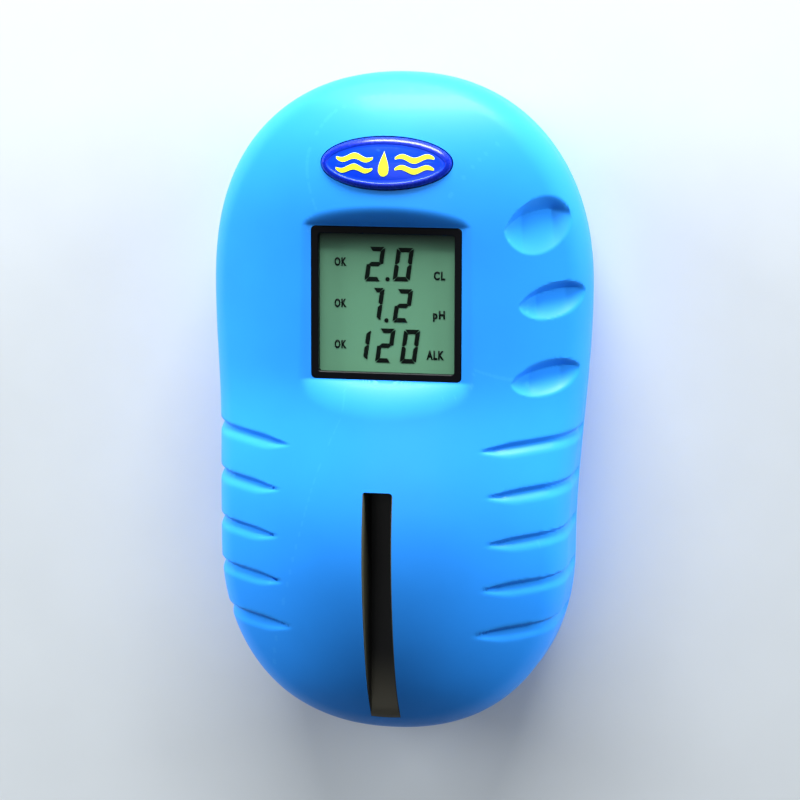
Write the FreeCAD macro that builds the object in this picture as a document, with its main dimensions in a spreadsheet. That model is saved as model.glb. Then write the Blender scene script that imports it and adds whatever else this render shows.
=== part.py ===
import FreeCAD, Part
import math
import os
import Sketcher

# Digital water tester: a handheld reader for pool test strips.
# The case lies on its back. +Z is the normal of the face, +Y points to the
# display end, +X to the right. The origin is the centre of the flat back.
# All lengths are millimetres, all angles degrees.

Vec = FreeCAD.Vector
doc = FreeCAD.newDocument("water_tester")
sheet = doc.addObject("Spreadsheet::Sheet", "dims")

# In the names: _half is half a width, _r a radius, _z a height, _y a place along the case.
DIMS = dict(
    # case outline, widest at wide_at and drawn in to the waist
    half_width=37.0, half_length=63.0, wide_at=22.5, waist_at=-27.0, waist_half=34.05,
    top_power=2.2, bottom_power=2.25,
    # case shape
    parting_z=11.0, parting_gap=0.15, wall=2.2, crown_drop=2.3, crown_curve=0.0094,
    edge_round=8.0, inner_round=5.8, skin_drop=1.15,
    rear_inset_top=0.5, rear_inset_back=2.8, rear_round=6.0,
    # display
    display_y=20.0, recess_z=26.9, recess_half=14.8, recess_slope=30.0,
    lens_side=28.9, lens_round=0.8, lens_thick=1.34, lens_gap=0.1, mask_thick=0.14,
    window_side=26.4, ledge_z=25.2, ledge_open=27.4, gasket_thick=0.19, gasket_space=0.2,
    pad_z=24.4, pad_half=18.5, pad_low=20.8, pad_high=19.5,
    glass_wide=31.0, glass_long=35.0, glass_thick=2.75, glass_z=21.5,
    reflector_long=26.0, reflector_thick=0.1,
    frame_wide=34.2, frame_long=37.8, frame_gap=0.03, frame_drop=0.15, well_long=26.6,
    zebra_wide=28.0, zebra_thick=1.8, zebra_y=15.6,
    # button
    button_y=46.5, button_major=12.55, button_minor=4.85, button_gap=0.2,
    button_proud=0.9, button_rim=0.75, button_base=22.1, flange_thick=0.9, flange_wide=0.9,
    label_major=10.2, label_minor=3.2, label_thick=0.3,
    button_pad_major=17.0, button_pad_minor=9.0,
    switch_side=6.0, switch_tall=2.5, bore_r=1.78, bore_z=1.4,
    plunger_r=1.7, plunger_long=1.4,
    # strip channel
    slot_half=2.9, slot_top=-14.9, slot_floor=27.0, slot_lip=0.7,
    guide_half=4.1, guide_floor=1.5, guide_top=-1.6, guide_end=-57.4, guide_gap=0.1,
    guide_end_wall=1.1, pad_pitch=4.4, pad_first=-4.6, sense_half=1.2, sense_wide=1.7,
    # optics
    baffle_wide=10.0, baffle_margin=5.6, chamber_wide=6.4, chamber_long=3.0,
    optics_wide=5.3, optics_margin=4.0, optics_thick=0.8,
    # finger grooves
    groove_r=1.4, groove_deep=1.05, groove_bend=38.0, groove_end_z=13.2,
    # rear half and battery bay
    door_half=15.0, door_end=-2.4, door_thick=2.15, door_gap=0.2, door_hole_z=2.3,
    cell_r=5.25, cell_long=44.5, cell_x=5.6, cell_z=8.15, cell_y=-28.0,
    pole_r=1.9, pole_long=1.0,
    tub_half=12.7, tub_wall=1.2, tub_top=-2.2, tub_bottom=-53.8, tub_ceiling=13.5, tub_roof=1.1,
    rear_part_z=1.0, ledge_half=19.0, ledge_end=-57.5, ledge_top=3.9,
    lip_outer=2.4, lip_inner=3.5, lip_low=8.2, lip_high=12.8,
    # contacts and leads
    contact_thick=0.4, contact_half=4.4, contact_low=4.2, contact_high=12.6, bridge_high=12.2,
    tab_half=1.5, tab_low=12.0, tab_high=16.0, tab_slot_half=1.8,
    spring_wire=0.25, spring_turns=3.0, spring_base_r=3.6, spring_end_r=2.2,
    cone_base_r=2.6, cone_end_r=1.5, lead_r=0.5, lead_drift=3.0,
    # board
    board_z=17.0, board_thick=1.6, board_half=25.5, board_low=-26.0, board_mid=38.0,
    board_top=54.0, board_neck=14.5, part_gap=0.02,
    # screws, bosses and studs
    case_screw_r=1.3, case_head_r=2.5, case_head_tall=1.7, case_seat_z=8.0, case_tip_z=20.0,
    case_cross=1.4, board_screw_r=0.95, board_head_r=1.9, board_head_tall=1.3,
    board_tip_z=22.3, board_cross=1.0, bite=0.02, boss_r=3.0, boss_z=12.1,
    rear_boss_r=3.4, rear_boss_top=12.0, stud_r=2.5,
    boss_top_x=19.0, boss_top_y=46.0, boss_low_x=23.5, boss_low_y=-36.0,
    stud_top_x=21.8, stud_top_y=33.0, stud_low_x=21.8, stud_low_y=-19.0,
    # label on the back
    label_wide=39.4, label_long=29.4, label_y=23.0, label_deep=0.3,
)

# The crown along the middle, from the display end to the strip end: y, z.
SPINE = [
    (63, 17.0), (59, 21.6), (55, 24.6), (50, 27.0), (44, 28.6), (38, 29.3), (30, 29.45),
    (20, 29.5), (10, 29.6), (4, 29.9), (-2, 30.9), (-8, 32.4), (-14, 33.8), (-20, 34.7),
    (-26, 35.0), (-32, 34.8), (-38, 34.1), (-44, 33.0), (-50, 31.4), (-55, 29.4),
    (-59, 27.0), (-63, 24.4),
]
SPINE_NAMES = ["spine_z" + letter for letter in "abcdefghijklmnopqrstuv"]
DIMS.update(zip(SPINE_NAMES, [z for y, z in SPINE]))

# Finger grooves on each side: x and y of the inner end.
GROOVES = [(18.6, -7.4), (20.3, -15.9), (20.3, -24.8), (19.6, -33.5), (18.0, -42.4)]

# Scallops on the right of the face: x, y, width, length, depth, tilt.
SCALLOPS = [
    (28.6, 35.6, 13.0, 10.0, 1.7, 14),
    (31.0, 21.0, 12.0, 7.0, 1.4, 12),
    (29.9, 6.6, 13.0, 6.6, 1.4, 12),
]

# Plain blocks on the board: object name, label, width, length, height, x, y.
BOARD_BLOCKS = [
    ("mcu_chip", "microcontroller", 8, 8, 1.4, -15.5, -12),
    ("crystal_can", "crystal", 6.2, 2.2, 1.6, -15.5, -20.5),
    ("regulator_body", "voltage_regulator", 4.5, 3.8, 1.5, 14.5, -6.5),
]

# Small chips on the board: x, y.
CHIP_SIZE = (1.6, 0.8, 0.5)
CHIPS = [
    (-9.5, -22), (-9.5, -19.5), (9.5, -19.5), (9.5, -22), (12.5, -22), (15.5, -22),
    (18.5, -12), (18.5, -9), (-22.5, -8), (-22.5, -11), (-22.5, -5), (-10.5, 44.5),
    (9, 49), (-9, 49), (20.5, 8), (20.5, 11), (-20.5, 8), (-20.5, 11),
]

# Cutting tools run past the case to these limits.
ABOVE, BELOW, BEYOND_STRIP_END = 45.0, -1.0, -75.0
BLANK_TOP = 40.0  # pads and bosses rise to here before the skin trims them
DOME_LOW = 5.0  # solids that only trim other parts start here, under the parting line


class Sizes:
    """The driving dimensions, read back from the sheet as attributes."""


dim = Sizes()
for row, (alias, value) in enumerate(DIMS.items(), start=1):
    sheet.set("A%d" % row, alias)
    sheet.set("B%d" % row, str(value))
    sheet.setAlias("B%d" % row, alias)
doc.recompute()
for alias in DIMS:
    setattr(dim, alias, float(sheet.get(alias)))


# ------------------------------------------------------------ document helpers

PIECES = {}


def bound(text):
    """A formula of sheet names, written the way the expression engine wants it."""
    out, word = "", ""
    for char in str(text) + " ":
        if char.isalnum() or char == "_":
            word += char
        else:
            out += ("dims." + word if word in DIMS else word) + char
            word = ""
    return out.strip()


def bind(obj, **formulas):
    for name, text in formulas.items():
        obj.setExpression(name, bound(text))


def place(obj, x, y, z):
    for axis, text in (("x", x), ("y", y), ("z", z)):
        obj.setExpression("Placement.Base." + axis, bound(text))


def piece(label, obj):
    """Labels an object and marks it for export."""
    obj.Label = label
    PIECES[label] = obj


def piece_from_shape(label, shape):
    obj = doc.addObject("Part::Feature", label + "_solid")
    obj.Shape = shape
    obj.Placement = FreeCAD.Placement()
    piece(label, obj)


def box(name, wide, long, tall, x, y, z):
    """A box centred on x and y, standing on z."""
    obj = doc.addObject("Part::Box", name)
    bind(obj, Length=wide, Width=long, Height=tall)
    place(obj, "(%s) - (%s)/2" % (x, wide), "(%s) - (%s)/2" % (y, long), z)
    return obj


def cylinder(name, radius, tall, x, y, z):
    obj = doc.addObject("Part::Cylinder", name)
    bind(obj, Radius=radius, Height=tall)
    place(obj, x, y, z)
    return obj


def piece_from_group(label, items):
    """Several separate solids of one kind, kept as one compound."""
    obj = doc.addObject("Part::Compound", label + "_set")
    obj.Links = items
    piece(label, obj)


# -------------------------------------------------------------------- sketches

def new_body(label):
    return doc.addObject("PartDesign::Body", label + "_body")


def sketch(body, name, y="0", z="0"):
    """A sketch parallel to the XY plane, its origin at y and z."""
    drawing = body.newObject("Sketcher::SketchObject", name)
    plane = [f for f in body.Origin.OriginFeatures if f.Role == "XY_Plane"][0]
    drawing.AttachmentSupport = [(plane, "")]
    drawing.MapMode = "FlatFace"
    drawing.setExpression("AttachmentOffset.Base.y", bound(y))
    drawing.setExpression("AttachmentOffset.Base.z", bound(z))
    return drawing


def drive(drawing, tag, constraint, text):
    """Adds a constraint and binds it to the sheet."""
    index = drawing.addConstraint(constraint)
    drawing.renameConstraint(index, tag)
    drawing.setExpression("Constraints." + tag, bound(text))


def add_loop(drawing, points):
    """A closed loop of straight lines; returns the number of its first line."""
    first, count = drawing.GeometryCount, len(points)
    corners = [Vec(x, y, 0) for x, y in points]
    for i in range(count):
        drawing.addGeometry(Part.LineSegment(corners[i], corners[(i + 1) % count]), False)
    for i in range(count):
        drawing.addConstraint(
            Sketcher.Constraint("Coincident", first + i, 2, first + (i + 1) % count, 1))
    return first


def add_rect(drawing, wide, long, tag):
    """A rectangle about the sketch's origin, its two sizes bound to the sheet."""
    x, y = 5.0, 4.0  # a start for the solver
    n = add_loop(drawing, [(-x, -y), (x, -y), (x, y), (-x, y)])
    drawing.addConstraint(Sketcher.Constraint("Horizontal", n))
    drawing.addConstraint(Sketcher.Constraint("Vertical", n + 1))
    drawing.addConstraint(Sketcher.Constraint("Horizontal", n + 2))
    drawing.addConstraint(Sketcher.Constraint("Vertical", n + 3))
    drawing.addConstraint(Sketcher.Constraint("Symmetric", n, 1, n + 1, 2, -1, 1))
    drive(drawing, tag + "_wide", Sketcher.Constraint("DistanceX", n, 1, n, 2, 2 * x), wide)
    drive(drawing, tag + "_long",
          Sketcher.Constraint("DistanceY", n + 1, 1, n + 1, 2, 2 * y), long)


def add_circle(drawing, tag, radius, x, y):
    """A circle; x and y are each a place and the formula of its distance from zero."""
    n = drawing.GeometryCount
    drawing.addGeometry(Part.Circle(Vec(x[0], y[0], 0), Vec(0, 0, 1), 1.0), False)
    drive(drawing, tag + "_r", Sketcher.Constraint("Radius", n, 1.0), radius)
    for kind, (spot, text) in (("DistanceX", x), ("DistanceY", y)):
        if spot >= 0:
            constraint = Sketcher.Constraint(kind, -1, 1, n, 3, spot)
        else:
            constraint = Sketcher.Constraint(kind, n, 3, -1, 1, -spot)
        drive(drawing, tag + "_" + kind, constraint, text)


def pad(body, drawing, name, length):
    feature = body.newObject("PartDesign::Pad", name)
    feature.Profile = drawing
    bind(feature, Length=length)
    return feature


def pocket(body, drawing, name, length):
    """A pocket upwards from the sketch plane."""
    feature = body.newObject("PartDesign::Pocket", name)
    feature.Profile = drawing
    feature.Reversed = True
    bind(feature, Length=length)


def rect_pad(body, name, wide, long, y, z, tall):
    drawing = sketch(body, name + "_outline", y, z)
    add_rect(drawing, wide, long, "outer")
    pad(body, drawing, name + "_pad", tall)


def rect_pocket(body, name, wide, long, y, z, tall):
    drawing = sketch(body, name, y, z)
    add_rect(drawing, wide, long, "outer")
    pocket(body, drawing, name + "_pocket", tall)


def plate(label, wide, long, thick, y, z, opening=None, corner=None):
    """A flat plate, with an optional square opening and rounded outer corners."""
    body = new_body(label)
    drawing = sketch(body, label + "_outline", y, z)
    add_rect(drawing, wide, long, "outer")
    if opening:
        add_rect(drawing, opening, opening, "inner")
    padded = pad(body, drawing, label + "_pad", thick)
    if corner:
        doc.recompute()
        edges = []
        bounds = body.Shape.BoundBox
        for i, edge in enumerate(padded.Shape.Edges):
            start, end = edge.Vertexes[0].Point, edge.Vertexes[-1].Point
            upright = abs(start.x - end.x) < 1e-6 and abs(start.y - end.y) < 1e-6
            if upright and min(abs(start.x - bounds.XMin), abs(start.x - bounds.XMax)) < 1e-4:
                edges.append("Edge%d" % (i + 1))
        fillet = body.newObject("PartDesign::Fillet", label + "_corner")
        fillet.Base = (padded, edges)
        bind(fillet, Radius=corner)
    piece(label, body)


# ------------------------------------------------------------ crown and outline

def natural_spline(points):
    """A natural cubic spline through points, carried on straight past both ends."""
    points = sorted(points)
    n = len(points)
    xs = [p[0] for p in points]
    ys = [p[1] for p in points]
    gap = [xs[i + 1] - xs[i] for i in range(n - 1)]
    # a tridiagonal system for the second derivative at each point
    lower, middle, upper, right = [0.0] * n, [1.0] * n, [0.0] * n, [0.0] * n
    for i in range(1, n - 1):
        lower[i], middle[i], upper[i] = gap[i - 1], 2 * (gap[i - 1] + gap[i]), gap[i]
        right[i] = 6 * ((ys[i + 1] - ys[i]) / gap[i] - (ys[i] - ys[i - 1]) / gap[i - 1])
    for i in range(1, n):
        factor = lower[i] / middle[i - 1]
        middle[i] -= factor * upper[i - 1]
        right[i] -= factor * right[i - 1]
    bend = [0.0] * n
    bend[-1] = right[-1] / middle[-1]
    for i in range(n - 2, -1, -1):
        bend[i] = (right[i] - upper[i] * bend[i + 1]) / middle[i]

    def value(x):
        if x <= xs[0]:
            slope = (ys[1] - ys[0]) / gap[0] - gap[0] * (2 * bend[0] + bend[1]) / 6
            return ys[0] + slope * (x - xs[0])
        if x >= xs[-1]:
            slope = (ys[-1] - ys[-2]) / gap[-1] + gap[-1] * (bend[-2] + 2 * bend[-1]) / 6
            return ys[-1] + slope * (x - xs[-1])
        i = 0
        while x > xs[i + 1]:
            i += 1
        after, before = xs[i + 1] - x, x - xs[i]
        return (bend[i] * after ** 3 / (6 * gap[i]) + bend[i + 1] * before ** 3 / (6 * gap[i])
                + (ys[i] / gap[i] - bend[i] * gap[i] / 6) * after
                + (ys[i + 1] / gap[i] - bend[i + 1] * gap[i] / 6) * before)

    return value


spine = natural_spline([(y, getattr(dim, name)) for (y, z), name in zip(SPINE, SPINE_NAMES)])


def crown(x, y):
    return spine(y) - dim.crown_curve * x * x


def crown_fall(x):
    """How steeply the crown falls away sideways at x."""
    return 2 * dim.crown_curve * x


def crown_normal(x, y):
    step = 0.05
    normal = Vec(crown_fall(x), -(spine(y + step) - spine(y - step)) / (2 * step), 1)
    return normal.normalize()


def side_half(t):
    """Half the width along the sides: t is 0 at the widest place and 1 at the waist."""
    return dim.waist_half + (dim.half_width - dim.waist_half) * (1 - t * t * (3 - 2 * t))


def half_width_at(y):
    """Half the width of the case at y."""
    if y >= dim.wide_at:
        u = min(1.0, (y - dim.wide_at) / (dim.half_length - dim.wide_at))
        return dim.half_width * (1 - u ** dim.top_power) ** (1 / dim.top_power)
    if y >= dim.waist_at:
        return side_half((dim.wide_at - y) / (dim.wide_at - dim.waist_at))
    u = min(1.0, (dim.waist_at - y) / (dim.half_length + dim.waist_at))
    return dim.waist_half * (1 - u ** dim.bottom_power) ** (1 / dim.bottom_power)


def outline_frames(count=22, steps=600):
    """Points and outward normals round the case outline, evenly spaced: x, y, nx, ny."""
    top, low = dim.half_length - dim.wide_at, dim.half_length + dim.waist_at
    pts = []
    # right side of the outline: display end, side, strip end
    for i in range(steps + 1):
        t = math.pi / 2 * i / steps
        up = math.cos(t) ** (2 / dim.top_power) if i < steps else 0.0
        pts.append((dim.half_width * math.sin(t) ** (2 / dim.top_power), dim.wide_at + top * up))
    for i in range(1, steps):
        t = i / steps
        pts.append((side_half(t), dim.wide_at - t * (dim.wide_at - dim.waist_at)))
    for i in range(steps + 1):
        t = math.pi / 2 * i / steps
        out = math.cos(t) ** (2 / dim.bottom_power) if i < steps else 0.0
        pts.append((dim.waist_half * out,
                    dim.waist_at - low * math.sin(t) ** (2 / dim.bottom_power)))
    run = [0.0]
    for p, q in zip(pts, pts[1:]):
        run.append(run[-1] + math.hypot(q[0] - p[0], q[1] - p[1]))
    frames, j = [], 0
    for i in range(count + 1):
        target = run[-1] * i / count
        while j < len(run) - 2 and run[j + 1] < target:
            j += 1
        f = (target - run[j]) / (run[j + 1] - run[j])
        p, q = pts[max(0, j - 3)], pts[min(len(pts) - 1, j + 4)]
        size = math.hypot(q[0] - p[0], q[1] - p[1])
        frames.append((pts[j][0] + f * (pts[j + 1][0] - pts[j][0]),
                       pts[j][1] + f * (pts[j + 1][1] - pts[j][1]),
                       -(q[1] - p[1]) / size, (q[0] - p[0]) / size))
    frames[0] = (0.0, dim.half_length, 0.0, 1.0)
    frames[-1] = (0.0, -dim.half_length, 0.0, -1.0)
    return frames + [(-x, y, -nx, ny) for x, y, nx, ny in frames[-2:0:-1]]


FRAMES = outline_frames()


# ----------------------------------------------------------------- solid helpers

def ring(points):
    """A smooth closed curve through points, with the same knots for every ring."""
    curve = Part.BSplineCurve()
    curve.interpolate(Points=points, PeriodicFlag=True,
                      Parameters=[float(i) for i in range(len(points) + 1)])
    return Part.Wire([curve.toShape()])


def outline_wire(inset, z):
    return ring([Vec(x - inset * nx, y - inset * ny, z) for x, y, nx, ny in FRAMES])


def prism(inset, z0, z1):
    return Part.Face(outline_wire(inset, z0)).extrude(Vec(0, 0, z1 - z0))


def under_crown(drop):
    """Everything below the crown surface, moved down by drop."""
    xs = [-48 + 12 * i for i in range(9)]
    ys = [-72 + 6 * i for i in range(25)]
    surface = Part.BSplineSurface()
    surface.interpolate([[Vec(x, y, crown(x, y) - drop) for y in ys] for x in xs])
    return surface.toShape().extrude(Vec(0, 0, -60))


def dome(inset, drop, base_z, radius):
    """The outline raised to the crown, with its top edge rounded by a rolling ball."""
    walls, arcs, feet = [], [[] for _ in range(5)], []
    for x, y, nx, ny in FRAMES:
        wall_x, wall_y = x - inset * nx, y - inset * ny
        ball_x, ball_y = wall_x - radius * nx, wall_y - radius * ny
        # the foot is where the ball touches the crown
        foot_x, foot_y = ball_x, ball_y
        for _ in range(40):
            normal = crown_normal(foot_x, foot_y)
            foot_x = 0.5 * foot_x + 0.5 * (ball_x + radius * normal.x)
            foot_y = 0.5 * foot_y + 0.5 * (ball_y + radius * normal.y)
        ball_z = crown(foot_x, foot_y) - drop - radius * normal.z
        walls.append((wall_x, wall_y, ball_z))
        flat = Vec(nx, ny, 0)
        total = flat.getAngle(normal)
        for k, arc in enumerate(arcs):
            f = (k + 1) / 6
            ray = (flat * (math.sin((1 - f) * total) / math.sin(total))
                   + normal * (math.sin(f * total) / math.sin(total)))
            arc.append(Vec(ball_x + radius * ray.x, ball_y + radius * ray.y,
                           ball_z + radius * ray.z))
        feet.append((foot_x, foot_y))
    rings = [ring([Vec(x, y, base_z) for x, y, z in walls]),
             ring([Vec(x, y, z) for x, y, z in walls])]
    rings += [ring(arc) for arc in arcs]
    # rings of shrinking size cover the crown, down to a tiny flat one
    middle_y = -6.0
    for f in (1.0, 0.92, 0.84, 0.75, 0.66, 0.57, 0.48, 0.39, 0.3, 0.2, 0.1):
        pts = []
        for x, y in feet:
            px, py = f * x, f * y + (1 - f) * middle_y
            pts.append(Vec(px, py, crown(px, py) - drop))
        rings.append(ring(pts))
    top = crown(0, middle_y) - drop
    rings.append(ring([Vec(0.01 * x, 0.01 * y + 0.99 * middle_y, top) for x, y in feet]))
    return Part.makeLoft(rings, True, True)


def between(out_solid, in_solid, z):
    """The wall between two nested shells that share the flat plane at z."""
    def flat(face):
        return abs(face.BoundBox.ZMax - z) < 1e-3 and abs(face.BoundBox.ZMin - z) < 1e-3

    out_flat = [f for f in out_solid.Faces if flat(f)][0]
    rim = out_flat.cut([f for f in in_solid.Faces if flat(f)][0]).Faces
    faces = [f for f in out_solid.Faces if not flat(f)] + rim
    faces += [f.reversed() for f in in_solid.Faces if not flat(f)]
    solid = Part.Solid(Part.Shell(faces))
    if not solid.isValid():
        solid.fix(1e-4, 1e-4, 1e-3)
    if solid.Volume < 0:
        solid.reverse()
    return solid


def block(x0, x1, y0, y1, z0, z1):
    """A block between two corners; x0 and x1 may come in either order."""
    x0, x1 = sorted((x0, x1))
    return Part.makeBox(x1 - x0, y1 - y0, z1 - z0, Vec(x0, y0, z0))


def mid_block(half, y0, y1, z0, z1):
    """A block centred on x = 0."""
    return block(-half, half, y0, y1, z0, z1)


def rod(radius, x, y, z0, z1):
    return Part.makeCylinder(radius, z1 - z0, Vec(x, y, z0))


def button_oval(major, minor, z0, z1):
    """An upright oval prism about the button's centre."""
    ellipse = Part.Ellipse(Vec(0, dim.button_y, z0), major, minor)
    return Part.Face(Part.Wire([ellipse.toShape()])).extrude(Vec(0, 0, z1 - z0))


def cut_each(shape, tools):
    for tool in tools:
        shape = shape.cut(tool)
    return shape


def largest(shape):
    return max(shape.Solids, key=lambda solid: solid.Volume)


# ------------------------------------------------------------------ shared places

def both_sides(*spots):
    return [(side * x, y) for x, y in spots for side in (-1, 1)]


CASE_BOSSES = both_sides((dim.boss_top_x, dim.boss_top_y), (dim.boss_low_x, dim.boss_low_y))
BOARD_STUDS = both_sides((dim.stud_top_x, dim.stud_top_y), (dim.stud_low_x, dim.stud_low_y))
FRONT_Z = dim.parting_z + dim.parting_gap  # lower edge of the front shell
REAR_Z = dim.parting_z - dim.parting_gap  # upper edge of the rear shell
GUIDE_Z = dim.slot_floor - dim.guide_floor  # underside of the strip guide
BAY_TOP = dim.tub_top - dim.tub_wall  # inner end faces of the battery bay
BAY_LOW = dim.tub_bottom + dim.tub_wall
PART_Z = "board_z + board_thick + part_gap"  # where parts stand on the board
SENSE_Y = ["pad_first - pad_pitch*%d" % i for i in range(3)]  # centre of each strip pad


# ------------------------------------------------------------------- front shell

def front_blanks():
    """Backing pads of display and button, case bosses and board studs."""
    y = dim.display_y
    blanks = mid_block(dim.pad_half, y - dim.pad_low, y + dim.pad_high, dim.pad_z, BLANK_TOP)
    button_pad = button_oval(dim.button_pad_major, dim.button_pad_minor,
                             dim.button_base + dim.flange_thick + 0.2, BLANK_TOP)
    frame_room = mid_block(20, y, y + dim.frame_long / 2 + 0.3, 0, ABOVE)
    blanks = blanks.fuse(button_pad.cut(frame_room))
    for x, y in CASE_BOSSES:
        blanks = blanks.fuse(rod(dim.boss_r, x, y, dim.boss_z, BLANK_TOP))
    for x, y in BOARD_STUDS:
        blanks = blanks.fuse(
            rod(dim.stud_r, x, y, dim.board_z + dim.board_thick + 0.05, BLANK_TOP))
    return blanks


def display_cuts():
    """The recess, open to both sides with sloping ends, and the stepped lens opening."""
    y, z, half = dim.display_y, dim.recess_z, dim.recess_half
    rise, side_x = 10, 45
    run = rise / math.tan(math.radians(dim.recess_slope))
    profile = Part.makePolygon([
        Vec(-side_x, y - half, z), Vec(-side_x, y + half, z),
        Vec(-side_x, y + half + run, z + rise), Vec(-side_x, y - half - run, z + rise),
        Vec(-side_x, y - half, z)])
    scoop = Part.Face(profile).extrude(Vec(2 * side_x, 0, 0))
    half = dim.lens_side / 2 + dim.lens_gap
    lens_hole = mid_block(half, y - half, y + half, dim.ledge_z, z + 1)
    upright = [e for e in lens_hole.Edges
               if abs(e.Vertexes[0].Point.z - e.Vertexes[-1].Point.z) > 1]
    lens_hole = lens_hole.makeFillet(dim.lens_round + dim.lens_gap, upright)
    half = dim.ledge_open / 2
    through = mid_block(half, y - half, y + half, dim.pad_z - 1, z + 1)
    return [scoop, lens_hole, through]


def strip_cuts():
    """The strip slot, the pocket for the strip guide and the notch at the strip end."""
    gap, floor_z = dim.guide_gap, dim.slot_floor
    return [
        mid_block(dim.slot_half, BEYOND_STRIP_END, dim.slot_top, floor_z, ABOVE),
        mid_block(dim.guide_half + gap, dim.guide_end - gap, dim.guide_top + 0.3,
                  GUIDE_Z - gap, floor_z + gap),
        mid_block(dim.slot_half, BEYOND_STRIP_END, dim.guide_end,
                  floor_z - dim.slot_lip, floor_z + 1),
    ]


def round_centre(y):
    """In the section at y: x, z of the edge round's centre, and x where it meets the crown."""
    radius = dim.edge_round
    centre_x = half_width_at(y) - radius
    x = centre_x
    for _ in range(30):
        size = math.sqrt(1 + crown_fall(x) ** 2)
        x = centre_x + radius * crown_fall(x) / size
    return centre_x, crown(x, y) - radius / math.sqrt(1 + crown_fall(x) ** 2), x


def groove(side, x0, y0):
    """A round-bottomed finger groove from the crown out and down the side wall.

    It drifts towards the display end as it goes down.
    """
    radius = dim.groove_r
    section_drift, middle_drift, end_drift = 1.2, 1.5, 2.6
    centre_x, centre_z = round_centre(y0 + section_drift)[:2]
    wall_x = half_width_at(y0 + end_drift)
    size = math.sqrt(1 + crown_fall(x0) ** 2)
    lift = radius + 0.05  # the groove starts just clear of the crown
    start = Vec(side * (x0 + lift * crown_fall(x0) / size), y0, crown(x0, y0) + lift / size)
    angle = math.radians(dim.groove_bend)
    reach = dim.edge_round + radius - dim.groove_deep
    middle = Vec(side * (centre_x + reach * math.cos(angle)), y0 + middle_drift,
                 centre_z + reach * math.sin(angle))
    end = Vec(side * (wall_x + radius - 0.1), y0 + end_drift, dim.groove_end_z)
    arc = Part.Arc(start, middle, end).toShape().Curve
    centre, axis = arc.Center, arc.Axis
    turn = math.degrees((start - centre).getAngle(end - centre))
    ahead = axis.cross(start - centre)
    disc = Part.Face(Part.Wire([Part.makeCircle(radius, start, ahead)]))
    swept = disc.revolve(centre, axis, turn)
    # the arc's axis may point either way
    if (swept.CenterOfMass - middle).Length > (start - middle).Length:
        swept = disc.revolve(centre, axis, -turn)
    return swept


def scallop(x, y, wide, long, deep, tilt):
    """A shallow thumb-shaped hollow: an ellipsoid sunk into the crown.

    Its half height is 2.5 depths and its centre lies 1.5 depths above the crown,
    where its section is 1/1.25 of its full size.
    """
    ball = Part.makeSphere(1.0)
    stretch = FreeCAD.Matrix()
    stretch.scale(wide / 2 * 1.25, long / 2 * 1.25, deep * 2.5)
    ball = ball.transformGeometry(stretch)
    ball.rotate(Vec(0, 0, 0), Vec(0, 0, 1), tilt)
    slope = math.degrees(math.atan(crown_fall(x)))
    ball.rotate(Vec(0, 0, 0), Vec(0, 1, 0), slope)
    normal = Vec(math.sin(math.radians(slope)), 0, math.cos(math.radians(slope)))
    centre_x, centre_z, meet_x = round_centre(y)
    if x <= meet_x:
        z = crown(x, y)
    else:
        z = centre_z + math.sqrt(max(0.0, dim.edge_round ** 2 - (x - centre_x) ** 2))
    ball.translate(Vec(x, y, z) + normal * deep * 1.5)
    return ball


def front_shell(outer):
    shell = between(outer, dome(dim.wall, dim.crown_drop, FRONT_Z, dim.inner_round), FRONT_Z)
    # the blanks stop half way through the wall
    shell = shell.fuse(front_blanks().common(under_crown(dim.skin_drop))).removeSplitter()
    tools = display_cuts()
    tools.append(button_oval(dim.button_major + dim.button_gap,
                             dim.button_minor + dim.button_gap, 18, ABOVE))
    tools += strip_cuts()
    tools += [rod(dim.case_screw_r + dim.bite, x, y, 12, 20.4) for x, y in CASE_BOSSES]
    tools += [rod(dim.board_screw_r + dim.bite, x, y, 18, 22.6) for x, y in BOARD_STUDS]
    tools += [groove(side, x, y) for x, y in GROOVES for side in (1, -1)]
    tools += [scallop(*row) for row in SCALLOPS]
    piece_from_shape("front_shell", largest(cut_each(shell, tools)))


# --------------------------------------------------------------- rear shell and door

def tray(inset, base_z, radius):
    """A shallow bowl following the outline, drawn in towards the back, bottom edge rounded."""
    top_inset, back_inset = dim.rear_inset_top, dim.rear_inset_back
    lean = math.atan((back_inset - top_inset) / REAR_Z)
    # from the sharp corner to where the round starts
    reach = radius * math.tan((math.pi / 2 - lean) / 2)
    corner = inset + back_inset + (top_inset - back_inset) * base_z / REAR_Z
    rows = []
    for k in range(6):
        angle = (math.pi / 2 - lean) * k / 5
        rows.append((corner + reach - radius * math.sin(angle),
                     base_z + radius - radius * math.cos(angle)))
    rows.append((inset + top_inset, REAR_Z))
    return Part.makeLoft([outline_wire(d, z) for d, z in rows], True, True)


def bay(z0, z1):
    """The room inside the walls of the battery tub."""
    return mid_block(dim.tub_half - dim.tub_wall, BAY_LOW, BAY_TOP, z0, z1)


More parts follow.
